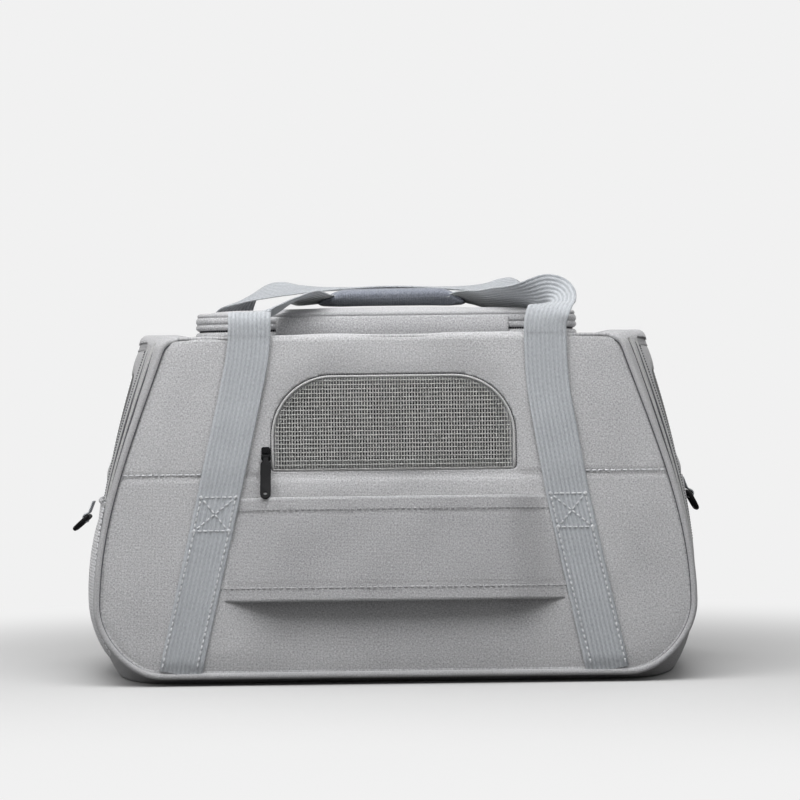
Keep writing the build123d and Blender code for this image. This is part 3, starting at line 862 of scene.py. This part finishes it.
# ---- Ends
def make_door(side, name):
    """An end's zipped door: coil round it, fabric leaf and its mesh, and the cords beside the zip with
    painted shade in their grooves.
    """
    body = name + "_door"
    middle = DOOR_ZIP / 2
    foot = POCKET_HIGH + 0.001 if side < 0 else RIGHT_ZIP_FOOT
    arch = gate_line(DOOR_HALF + middle, foot, DOOR_HIGH + middle, DOOR_CORNER + middle, 0.0019)
    line = end_point(side, arch[:, 0], arch[:, 1], 0.0002)
    outward = unit(end_point(side, arch[:, 0], arch[:, 1], 0.001) - line)
    bed_line = end_point(side, arch[:, 0], arch[:, 1], -0.0002)
    names = (name + "_door_zip", name + "_door_zip_bed", name + "_door_chain")
    make_zip(names, line, bed_line, outward, arch[:, 1] < DOOR_HIGH - 0.002, DOOR_TOOTH,
             (DOOR_ZIP + 0.004, 0.0012))
    for label, place_y, size in DOOR_CORDS:
        z = np.arange(BAG_HEIGHT - 0.004, foot, -0.003)
        y = place_y * half_depth(z) / half_depth(0.19)
        cord = tube(f"{name}_{label}_cord", end_point(side, y, z, 0.0004), size, sides=8)
        finish_piece(cord, pale_trim, "bag")
        # A thin dark tube just outside each cord: painted shade in its groove.
        shade = tube(f"{name}_{label}_groove", end_point(side, y * 1.022, z, 0.0), 0.0008, sides=6)
        finish_piece(shade, seam_painted_shade, "bag")

    spread = np.arange(-DOOR_HALF - 0.003, DOOR_HALF + 0.004, GRID_STEP)
    rise = np.arange(DOOR_LOW - 0.001, DOOR_HIGH + 0.003, GRID_STEP)
    y, z = plane(spread, rise)
    leaf = -gate_distance(y, z, DOOR_HALF, DOOR_LOW + 0.0004, DOOR_HIGH, DOOR_CORNER)
    hole = DOOR_HALF - DOOR_BORDER
    hole_low, hole_high = DOOR_LOW + DOOR_BORDER, DOOR_HIGH - DOOR_BORDER - 0.006
    centre, half_tall = (hole_low + hole_high) / 2, (hole_high - hole_low) / 2
    inner = box_distance(y, z - centre, hole, half_tall, DOOR_MESH_CORNER)
    keep = np.minimum(leaf, inner)
    points = end_point(side, y, z, 0.0012 * (1 - np.exp(-np.maximum(keep, 0) / 0.003)) - 0.0006)
    leaf_piece = cut_sheet(name + "_door_leaf", points, keep, stack(y, z), FABRIC * 0.7, -side)
    finish_piece(leaf_piece, heather_shaded_copy, body, [name + "_door_frame"])

    def place(a, b, lift):
        return end_point(side, a, b, lift - 0.0016)

    def inside(a, b):
        return -box_distance(a, b - centre, hole + NET_TUCK, half_tall + NET_TUCK, DOOR_MESH_CORNER + 0.001)

    low = (-hole - NET_TUCK, hole_low - NET_TUCK)
    high = (hole + NET_TUCK, hole_high + NET_TUCK)
    # The door's net in the same near-black thread: painted shade.
    net = thread_mesh(name + "_door_net", place, low, high, inside, FAR_PITCH, DENSE_RADIUS)
    return finish_piece(net, far_thread_painted_shade, body, [name + "_door_mesh"])


def pocket_lift(y, z):
    """How far the filled pocket stands off the left end."""
    up = np.clip((z - POCKET_LOW) / (POCKET_HIGH - POCKET_LOW), 0, 1)
    belly = np.sin(np.clip(up * 1.15, 0, 1) * math.pi) ** 0.7
    across = 1 - (np.abs(y) / POCKET_HALF) ** 4
    return 0.0016 + 0.0042 * belly * across


def make_pocket():
    """The left end's knitted pocket, tight at its bound mouth."""
    y, z = plane(np.arange(-POCKET_HALF, POCKET_HALF + 0.001, 0.0024),
                 np.arange(POCKET_LOW, POCKET_HIGH + 0.001, 0.0024))
    points = end_point(-1, y, z, pocket_lift(y, z))
    pocket = thicken(grid_object("pocket_cloth", points, stack(y, z)), 0.0011, 1.0)
    finish_piece(pocket, pocket_knit, "bag", ["end_pocket"])
    run = np.linspace(-POCKET_HALF, POCKET_HALF, 90)
    mouth = end_point(-1, run, POCKET_HIGH, pocket_lift(run, POCKET_HIGH))
    binding = tube("pocket_binding", mouth, 0.0018, sides=10)
    finish_piece(binding, welt, "bag")
    rise = np.linspace(POCKET_LOW, POCKET_HIGH, 60)
    middle = end_point(-1, 0, rise, pocket_lift(0, rise))
    girth, height = (float(lengths(line).sum()) for line in (mouth, middle))
    return pocket


# ---- Sleeve
def sleeve_lift(x, z):
    """How far the luggage sleeve stands off the near panel."""
    foot = strap_centre(z, np.sign(x)) - WEBBING / 2
    share = np.clip((foot - np.abs(x)) / (foot - SLEEVE_SLOT_HALF), 0, 1)
    rise = share * share * (3 - 2 * share)
    bulge = 0.0012 * np.cos(np.clip(x / SLEEVE_SLOT_HALF, -1, 1) * math.pi / 2)
    return 0.0012 + rise * SLEEVE_GAP + bulge * rise


def make_sleeve():
    """The band that a suitcase's handle slides behind."""
    share, z = plane(np.linspace(-1, 1, 121), np.linspace(SLEEVE_LOW, SLEEVE_HIGH, 34))
    x = share * (strap_centre(z, np.sign(share)) - WEBBING / 2 + 0.010)
    folds = wrinkle(stack(x, 0.0, z), 0.035, 0.0008, 9)
    edge = np.minimum(z - SLEEVE_LOW, SLEEVE_HIGH - z)
    hem = 0.0005 * np.exp(-((edge - 0.0105) / 0.0012) ** 2)
    points = panel_point(-1, x, z, sleeve_lift(x, z) + folds - hem)
    sleeve = grid_object("sleeve_cloth", points, stack(x, z))
    thicken(sleeve, 0.0016, -1.0)
    finish_piece(sleeve, sleeve_cloth, "bag", ["luggage_sleeve"])
    width = float(lengths(points[:, 0]).sum())
    return sleeve


# ---- Straps and handles
def make_straps(side, name):
    """Straps from the base to the top edge: sewn down to the box stitch, free above it."""
    pieces = []
    for sign in (-1, 1):
        z = np.linspace(PANEL_LOW - 0.0005, LOOP_START, 90)
        low_lift = 0.0026 * np.clip((z - PANEL_LOW + 0.001) / 0.009, 0.15, 1)
        lift = low_lift + 0.0010 * np.clip((z - STITCH_HEIGHT) / 0.02, 0, 1)
        centre = np.pad(strap_centre(z, sign), 5, mode="reflect", reflect_type="odd")
        x = np.convolve(centre, np.ones(11) / 11, "valid")
        line = panel_point(side, sign * x, np.minimum(z, BAG_HEIGHT - TOP_FOLD), lift)
        line[:, 2] = z
        label = "left" if sign < 0 else "right"
        pieces.append(ribbon(f"{name}_{label}_strap", line, np.tile([1.0, 0, 0], (len(line), 1))))
    straps = join(name + "_straps", pieces)
    finish_piece(straps, strap_cloth, None, [name + "_sewn_straps", name + "_handle_legs"])
    hinge = panel_point(side, 0.0, STITCH_HEIGHT - 0.001, 0.003)
    top = panel_point(side, 0.0, STITCH_HEIGHT + 0.014, 0.003)
    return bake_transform(straps, "bag", name + "_legs", start=tuple(hinge), end=tuple(top))


# Handle routes: the centre line's x, y, z in millimetres, then the direction of the webbing's width.
NEAR_ROUTE = [
    (-100.7, -127.05, 245.5, 1, 0, 0), (-100.5, -127, 251.6, 1, 0, 0), (-100.5, -126.6, 256, 1, 0, 0),
    (-100.5, -124.6, 259.6, 1, 0, 0), (-100.5, -120.5, 261.4, 1, 0, 0), (-100, -115, 261.8, 1, 0, 0.02),
    (-97.5, -109.5, 261.8, 0.95, -0.3, 0.1), (-93, -105, 262, 0.85, -0.5, 0.22),
    (-87.5, -101, 262.8, 0.76, -0.55, 0.35), (-81.5, -97, 265, 0.68, -0.6, 0.42),
    (-75.5, -92.5, 268, 0.66, -0.62, 0.42), (-70, -87.5, 271.4, 0.7, -0.62, 0.34),
    (-65.5, -80, 273.6, 0.76, -0.55, 0.26), (-63, -67, 274.2, 0.9, -0.3, 0.2),
    (-61.5, -50, 274.2, 0.97, -0.1, 0.2), (-60.5, -33, 274.2, 0.97, -0.1, 0.2),
    (-59, -18, 274.2, 0.88, -0.4, 0.2), (-56, -6, 274.2, 0.5, -0.84, 0.18),
    (-49, 1.5, 274.6, 0.12, -0.98, 0.1), (-38, 4, 275.3, 0, -1, 0), (0, 4, 276.5, 0, -1, 0),
    (40, 4, 275.5, 0, -1, 0), (53, -1, 274, -0.1, -1, 0.15), (64, -16, 272.5, -0.4, -0.85, 0.35),
    (73, -38, 272, -0.55, -0.75, 0.4), (84, -60, 272.5, -0.6, -0.65, 0.45),
    (95, -78, 272.5, -0.55, -0.65, 0.5), (103.5, -87, 272, -0.2, -0.58, 0.78),
    (111, -94, 273, 0.2, -0.48, 0.86), (116, -100, 271.5, 0.6, -0.28, 0.75),
    (117.5, -106, 268.8, 0.87, -0.12, 0.47), (116, -111.5, 266.2, 1, 0, 0.18),
    (113, -119.5, 264.2, 1, 0, 0.06), (110.6, -124.8, 260.8, 1, 0, 0.02), (108.8, -126.6, 256.3, 1, 0, 0),
    (107.9, -127, 251.6, 1, 0, 0), (107.8, -127.05, 245.5, 1, 0, 0),
]
FAR_ROUTE = [
    (-100.7, 127.05, 245.5, 1, 0, 0), (-101.0, 127, 251.6, 1, 0, 0), (-103.2, 126.3, 256, 1, 0, 0),
    (-108, 122, 260.5, 1, 0, 0), (-116, 113, 262.3, 1, 0, 0), (-122, 100, 264, 1, 0, 0.03),
    (-123.5, 89, 268, 0.97, 0.1, 0.12), (-120, 79, 273, 0.93, 0.2, 0.25),
    (-112, 68, 279, 0.75, 0.5, 0.42), (-101, 58, 283, 0.5, 0.72, 0.46), (-87, 50, 284.3, 0.25, 0.88, 0.4),
    (-72, 46, 284, 0.1, 0.96, 0.25), (-50, 43, 284.3, 0, 1, 0.1), (0, 43, 285, 0, 1, 0),
    (50, 43, 283.8, 0, 1, 0.1), (72, 46, 283.5, -0.1, 0.96, 0.25), (88, 51, 285, -0.25, 0.88, 0.4),
    (101, 60, 285, -0.5, 0.72, 0.46), (109.5, 70, 280, -0.75, 0.5, 0.42),
    (113, 80, 273, -0.93, 0.2, 0.25), (114, 90, 268, -0.97, 0.1, 0.12), (113.5, 101, 264, -1, 0, 0.03),
    (111, 113, 262.3, -1, 0, 0), (109.3, 122, 260.5, -1, 0, 0), (108.3, 126.3, 256, -1, 0, 0),
    (107.9, 127, 251.6, -1, 0, 0), (107.8, 127.05, 245.5, -1, 0, 0),
]


def make_handle(route, name):
    """One handle's free loop of webbing."""
    both = smooth_path([(*row[:3], *(100 * unit(np.array(row[3:], float)))) for row in route], 3.0)
    line = both[:, :3] * MM
    loop = ribbon(name + "_handle_webbing", line, both[:, 3:])
    finish_piece(loop, strap_cloth, None, [name + "_handle_loop"])
    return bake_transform(loop)


# ---- Padded pieces
def puff(piece, voxel, pressure, cap):
    """Remeshes a closed form and swells it as cloth under pressure, each point moving cap at most."""
    remesh = piece.modifiers.new("remesh", "REMESH")
    remesh.mode = "VOXEL"
    remesh.voxel_size = voxel
    apply_modifiers(piece)
    rest = np.array([v.co for v in piece.data.vertices])
    cloth = piece.modifiers.new("cloth", "CLOTH")
    cloth.settings.use_pressure = True
    cloth.settings.uniform_pressure_force = pressure
    cloth.settings.effector_weights.gravity = 0
    for number in range(1, PUFF_FRAMES + 1):
        bpy.context.scene.frame_set(number)
    apply_modifiers(piece)
    bpy.context.scene.frame_set(1)
    now = np.array([v.co for v in piece.data.vertices])
    move = now - rest
    size = np.linalg.norm(move, axis=1, keepdims=True)
    now = rest + move * np.minimum(1, cap / np.maximum(size, 1e-9))
    piece.data.vertices.foreach_set("co", now.astype(np.float32).ravel())
    piece.data.polygons.foreach_set("use_smooth", [True] * len(piece.data.polygons))
    return piece


def apply_modifiers(piece):
    """Keeps the shape that the piece's modifiers give it."""
    evaluated = piece.evaluated_get(bpy.context.evaluated_depsgraph_get())
    mesh = bpy.data.meshes.new_from_object(evaluated)
    piece.modifiers.clear()
    piece.data = mesh


def make_grip():
    """The padded sleeve round the near handle: arched on top, flatter below, its ends drawn in."""
    low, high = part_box("padded_grip")
    middle_y = (low.y + high.y) / 2
    xs = np.linspace(low.x, high.x, 57)
    share = np.abs(xs) / high.x
    top = GRIP_TOP - 0.0115 * np.clip((share - 0.58) / 0.42, 0, 1) ** 2.2
    bottom = GRIP_FOOT - 0.0016 * share**4
    half_y = (GRIP_HALF_DEPTH - 0.002 * share**6)[:, None]
    half_z = ((top - bottom) / 2)[:, None]
    angle = np.linspace(0, 2 * math.pi, 28, endpoint=False)
    round_y, round_z = (np.sign(part) * np.abs(part) ** 0.7 for part in (np.cos(angle), np.sin(angle)))
    rings = stack(xs[:, None], middle_y + half_y * round_y, ((top + bottom) / 2)[:, None] + half_z * round_z)
    grip = puff(loft("grip_pad", rings, inward=True), 0.0024, 3.0, 0.0014)
    finish_piece(grip, grip_cloth, "near_loop", ["padded_grip"])
    return grip


def make_bed():
    """The fleece bed on the base board."""
    low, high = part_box("fleece_bed")
    half_x, half_y = high.x - 0.003, high.y - 0.003
    line = rounded_line(half_x, half_y, 0.018, 0.006)
    height, scale = np.array([(0.0, 0.97), (0.3, 1.0), (0.75, 1.0), (1.0, 0.94)]).T[..., None]
    rise = low.z + 0.001 + height * (high.z - low.z - 0.004)
    rings = stack(line[:, 0] * scale, line[:, 1] * scale, rise)
    bed = puff(loft("bed_pad", rings), 0.005, 2.0, 0.003)
    co = np.array([v.co for v in bed.data.vertices])
    co[:, 2] = np.maximum(co[:, 2], low.z + 0.0002)
    bed.data.vertices.foreach_set("co", co.astype(np.float32).ravel())
    finish_piece(bed, fleece, "bag", ["fleece_bed"])
    return bed


# ---- Lid
# Ridges round the opening: outset from the lid's outline and height over the bag's top, from bottom to top.
RIM_PROFILE = ((-0.0030, -0.0004), (0.0006, 0.0002), (0.0014, 0.0014), (0.0014, 0.0026), (0.0004, 0.0038),
               (-0.0026, 0.0042))
BACKING_PROFILE = ((-0.0034, 0.0036), (-0.0026, 0.0052), (-0.0034, 0.0070))
SKIRT_PROFILE = ((-0.0030, 0.0062), (0.0004, 0.0064), (0.0013, 0.0074), (0.0013, 0.0086), (0.0004, 0.0098),
                 (-0.0010, 0.0102), (0.0004, 0.0106), (0.0012, 0.0116), (0.0012, 0.0132), (0.0004, 0.0146),
                 (-0.0012, 0.0150))


def lid_line(inset, step):
    """The lid's outline, or one inside it."""
    line = rounded_line(LID_HALF_LENGTH - inset, LID_HALF_DEPTH - inset, LID_CORNER, step)
    return line + [LID_CENTRE, 0]


def ring_wall(name, profile, thickness):
    """A cloth wall round the top opening: profile is (outset, height) from bottom to top."""
    line = lid_line(0, RING_STEP)
    outset, height = np.array(profile).T
    flat = line[:, None] + outward_of(line, closed=True)[:, None] * outset[:, None]
    points = stack(flat[..., 0], flat[..., 1], BAG_HEIGHT + height)
    wall = grid_object(name, points, stack(RING_STEP * np.arange(len(line))[:, None], height), closed=True)
    return thicken(wall, thickness, 0.0)


def lid_dome(x, y):
    """How far the soft lid domes up at a place measured from its own middle."""
    share = np.clip(1 - (x / LID_HALF_LENGTH) ** 2, 0, 1) * np.clip(1 - (y / LID_HALF_DEPTH) ** 2, 0, 1)
    return LID_DOME * share


def make_lid_zip():
    """Ridged tape round the top opening, and the lid's coil on its backing."""
    finish_piece(ring_wall("lid_rim", RIM_PROFILE, 0.0010), heather_shaded_copy, "bag", ["lid_zip_rim"])
    line = lid_line(0.0018, 0.0017)
    toothed = (np.abs(line[:, 0]) > HINGE_HALF) | (line[:, 1] > 0)
    spots, ahead, outward = (np.pad(rows[toothed], ((0, 0), (0, 1)))
                             for rows in (line, tangents(line, True), outward_of(line, closed=True)))
    spots[:, 2] = BAG_HEIGHT + 0.0052
    teeth = boxes("lid_zip", spots, ahead, outward, LID_TOOTH)
    finish_piece(teeth, coil, "bag", ["lid_zip_chain"])
    finish_piece(ring_wall("lid_zip_backing", BACKING_PROFILE, 0.0008), tape, "bag")


def make_lid_wall():
    """The lid's ridged skirt with its bound edge, and the fabric hinge on its near side."""
    skirt = ring_wall("lid_wall", SKIRT_PROFILE, 0.0010)
    finish_piece(skirt, heather_shaded_copy, "lid", ["lid_skirt"])
    edge = lid_line(0.0010, RING_STEP)
    bound = stack(edge[:, 0], edge[:, 1], LID_TOP)
    finish_piece(tube("lid_welt", bound, 0.0018, sides=8, closed=True), welt, "lid")

    band_x, band_z = plane(np.linspace(-HINGE_HALF, HINGE_HALF, 80), np.linspace(0.0006, 0.0144, 16))
    swell = 0.0014 + 0.0014 * np.sin(np.clip((band_z - 0.0006) / 0.0138, 0, 1) * math.pi)
    band_points = stack(band_x, -(LID_HALF_DEPTH + swell), BAG_HEIGHT + band_z)
    hinge = thicken(grid_object("lid_hinge_band", band_points, stack(band_x, band_z)), 0.0012)
    finish_piece(hinge, heather_shaded_copy, None)
    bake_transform(hinge)


def make_lid_top():
    """The lid's domed cloth and the mesh sewn into it."""
    x, y = plane(np.arange(-LID_HALF_LENGTH, LID_HALF_LENGTH + 0.001, GRID_STEP),
                 np.arange(-LID_HALF_DEPTH, LID_HALF_DEPTH + 0.001, GRID_STEP))
    outside = -box_distance(x, y, LID_HALF_LENGTH - 0.0014, LID_HALF_DEPTH - 0.0014, LID_CORNER)
    opening = box_distance(x, y, LID_HALF_LENGTH - LID_BORDER, LID_HALF_DEPTH - LID_BORDER, LID_MESH_CORNER)
    keep = np.minimum(outside, opening)
    swell = 0.0030 * (1 - np.exp(-np.maximum(keep, 0) / 0.006))
    folds = wrinkle(stack(x, y, 0.0), 0.03, 0.0005, 11) * np.clip(keep / 0.008, 0, 1)
    points = stack(x + LID_CENTRE, y, LID_TOP + swell + folds + lid_dome(x, y))
    cover = cut_sheet("lid_top", points, keep, stack(x, y), 0.0018, -1.0)
    finish_piece(cover, heather, "lid", ["lid_cover"])

    def place(a, b, lift):
        return stack(a + LID_CENTRE, b, BAG_HEIGHT + 0.0166 + lift + lid_dome(a, b))

    def inside(a, b):
        return -box_distance(a, b, *half, LID_MESH_CORNER)

    half = (LID_HALF_LENGTH - LID_BORDER + NET_TUCK, LID_HALF_DEPTH - LID_BORDER + NET_TUCK)
    low = (-LID_HALF_LENGTH + LID_BORDER - NET_TUCK, -LID_HALF_DEPTH + LID_BORDER - NET_TUCK)
    net = thread_mesh("lid_net", place, low, (-low[0], -low[1]), inside, LID_PITCH, THREAD_RADIUS)
    return finish_piece(net, mesh_thread, "lid", ["lid_mesh"])


# ---- Stitching
def stitches(name, line, outward, finish):
    """A row of stitches along a line."""
    spots = evenly(line, STITCH[0] + STITCH_GAP)
    share = np.linspace(0, len(outward) - 1, len(spots)).astype(int)
    row = boxes(name, spots, tangents(spots), outward[share], STITCH)
    return finish_piece(row, finish, "bag")


def panel_row(name, side, start, end, lift, finish=None, count=60):
    """Stitches between two (x, z) places on a panel; lift may be a function of x and z."""
    x = np.linspace(start[0], end[0], count)
    z = np.linspace(start[1], end[1], count)
    rise = lift(x, z) if callable(lift) else np.full(count, lift)
    return stitches(name, panel_point(side, x, z, rise), panel_outward(side, count), finish or stitch_thread)


def make_stitching():
    """Cross seams, sleeve hems and the boxes that hold the straps."""
    for side, name in ((-1, "near"), (1, "far")):
        for sign, label in ((-1, "left"), (1, "right")):
            inner = strap_centre(CROSS_SEAM, sign) + WEBBING / 2
            outer = float(half_width(near_outline, CROSS_SEAM)) - 0.004
            start = (sign * (inner + 0.002), CROSS_SEAM + 0.002)
            panel_row(f"{name}_{label}_seam_row", side, start, (sign * outer, CROSS_SEAM + 0.002), 0.0013)
            low, high = BOX_LOW, STITCH_HEIGHT - 0.002
            edge = WEBBING / 2 - 0.0028
            lift = STITCH_ON_STRAP
            foot, head = strap_centre(low, sign), strap_centre(high, sign)
            corners = [(foot - edge, low), (foot + edge, low), (head + edge, high), (head - edge, high)]
            corners = [(sign * x, z) for x, z in corners]
            rows = [(0, 1), (1, 2), (2, 3), (3, 0), (0, 2), (1, 3)]
            for a, b in rows:
                panel_row(f"{name}_{label}_box_{a}{b}", side, corners[a], corners[b], lift, count=30)
            for place in (-edge, edge):
                tag = "outer" if place > 0 else "inner"
                start = (sign * (strap_centre(PANEL_LOW, sign) + place), PANEL_LOW + 0.006)
                end = (sign * (strap_centre(low, sign) + place), low - 0.002)
                panel_row(f"{name}_{label}_{tag}_run", side, start, end, lift)
    for z, tag in ((SLEEVE_LOW + 0.0095, "low"), (SLEEVE_HIGH - 0.0085, "high")):
        left, right = strap_centre(z, -1) - WEBBING / 2, strap_centre(z, 1) - WEBBING / 2
        panel_row(f"sleeve_{tag}_hem", -1, (-left, z), (right, z),
                  lambda x, h: sleeve_lift(x, h) + 0.0006, hem_thread, count=120)


# ---- Small hardware
def dress_hardware():
    """Materials of the CAD nodes that stay as they are."""
    for name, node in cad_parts.items():
        metal = "slider" in name or "pull_tab" in name or "d_ring" in name
        if metal or name == "base_board":
            node.data.materials.clear()
            node.data.materials.append(black if metal else board_finish)


def make_ring_tabs():
    """Webbing tabs that hold the D-rings."""
    for side, name in ((-1, "left"), (1, "right")):
        low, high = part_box(name + "_ring_tab")
        face = low.x if side < 0 else high.x
        back = high.x if side < 0 else low.x
        centre = (face + back) / 2
        radius = 0.0029
        pivot_z = low.z + radius
        angle = np.linspace(-0.5 * math.pi, 1.0 * math.pi, 22)
        pivot_x = face - side * radius
        curl = [(pivot_x + side * radius * math.cos(a), 0, pivot_z + radius * math.sin(a)) for a in angle]
        top = (back + side * 0.0012, 0, high.z)
        line = evenly(np.array([*curl[:14], (centre, 0, pivot_z + radius + 0.001), top]), 0.0012)
        across = np.tile([0.0, 1.0, 0.0], (len(line), 1))
        tab = ribbon(name + "_ring_webbing", line, across, width=0.018, thickness=0.0014, ribs=6)
        finish_piece(tab, strap_cloth, "bag", [name + "_ring_tab"])


# ---- Studio
def make_floor():
    """Pale floor that keeps its shadow near the object and fades into the background."""
    corners = [(-FLOOR_HALF, -FLOOR_HALF, 0), (FLOOR_HALF, -FLOOR_HALF, 0), (FLOOR_HALF, FLOOR_HALF, 0),
               (-FLOOR_HALF, FLOOR_HALF, 0)]
    floor = mesh_object("studio_floor", corners, [(0, 1, 2, 3)], smooth=False)
    made, tree, diffuse = shader("studio_floor", 1.0, gloss=0.0)
    path = tree.nodes.new("ShaderNodeLightPath")
    seen = path.outputs["Is Camera Ray"]
    colour = ramp(tree, seen, (0.0, (FLOOR_BOUNCE,) * 3), (1.0, (FLOOR_COLOUR,) * 3))
    tree.links.new(colour, diffuse.inputs["Base Color"])
    glow = tree.nodes.new("ShaderNodeEmission")
    glow.inputs["Color"].default_value = (*(BACKGROUND,) * 3, 1)
    away = tree.nodes.new("ShaderNodeVectorMath")
    away.operation = "LENGTH"
    tree.links.new(coordinates(tree, "Object"), away.inputs[0])
    fade = tree.nodes.new("ShaderNodeMapRange")
    fade.interpolation_type = "SMOOTHERSTEP"
    fade.inputs["From Min"].default_value = FLOOR_FADE[0]
    fade.inputs["From Max"].default_value = FLOOR_FADE[1]
    tree.links.new(away.outputs["Value"], fade.inputs["Value"])
    mix = tree.nodes.new("ShaderNodeMixShader")
    tree.links.new(mixed(tree, "MULTIPLY", fade.outputs["Result"], seen), mix.inputs["Fac"])
    tree.links.new(diffuse.outputs["BSDF"], mix.inputs[1])
    tree.links.new(glow.outputs["Emission"], mix.inputs[2])
    tree.links.new(mix.outputs["Shader"], tree.nodes["Material Output"].inputs["Surface"])
    floor.data.materials.append(made)


def make_world():
    """Even pale surround: the background's colour for camera, gloss and glass, dimmer as light."""
    world = bpy.data.worlds.new("studio")
    bpy.context.scene.world = world
    world.use_nodes = True
    tree = world.node_tree
    path = tree.nodes.new("ShaderNodeLightPath").outputs
    seen = mixed(tree, "MAXIMUM", path["Is Camera Ray"], path["Is Glossy Ray"])
    seen = mixed(tree, "MAXIMUM", seen, path["Is Transmission Ray"])
    colour = ramp(tree, seen, (0.0, (WORLD_LIGHT,) * 3), (1.0, (BACKGROUND,) * 3))
    tree.links.new(colour, tree.nodes["Background"].inputs["Color"])


def place_object(name, data, spot, turn):
    """A lamp or camera in the scene."""
    made = bpy.data.objects.new(name, data)
    made.location = spot
    made.rotation_euler = turn
    bpy.context.scene.collection.objects.link(made)
    return made


def make_lamps():
    """Soft lamps that face the bag: name, place, size and power."""
    for name, spot, size, power in (
        ("key", (-0.08, -0.56, 0.92), 1.0, 12.2),
        ("left_fill", (-1.9, -0.5, 0.8), 1.4, 6.0),
        ("right_fill", (1.5, -1.6, 0.7), 1.6, 1.6),
        ("top", (0.0, 0.3, 1.9), 1.5, 4.0),
        ("back_left", (-1.3, 1.7, 0.9), 1.4, 7.0),
        ("back_right", (1.3, 1.7, 0.9), 1.4, 7.0),
    ):
        lamp = bpy.data.lights.new(name, "AREA")
        lamp.size = size
        lamp.energy = power
        aim = Vector((0, 0, LAMP_AIM)) - Vector(spot)
        place_object(name, lamp, spot, aim.to_track_quat("-Z", "Y").to_euler())


def make_camera():
    """The photograph's view: level, from the front, rolled a little."""
    camera = bpy.data.cameras.new("camera")
    camera.sensor_width = 36
    camera.lens = CAMERA_LENS
    bpy.context.scene.camera = place_object("camera", camera, CAMERA_PLACE, (math.pi / 2, CAMERA_ROLL, 0))


# ---- Build
make_band()
for side, name, body in ((-1, "near", "window_flap"), (1, "far", "bag")):
    make_panel(side, name)
    make_piping(side, name)
    make_window(side, name, body)
    make_straps(side, name)
make_door(-1, "left")
make_door(1, "right")
make_pocket()
make_sleeve()
make_handle(NEAR_ROUTE, "near")
make_handle(FAR_ROUTE, "far")
make_grip()
make_bed()
make_lid_zip()
make_lid_wall()
make_lid_top()
make_stitching()
make_ring_tabs()
dress_hardware()
make_floor()
make_world()
make_lamps()
make_camera()
bpy.context.scene.view_settings.view_transform = "Standard"
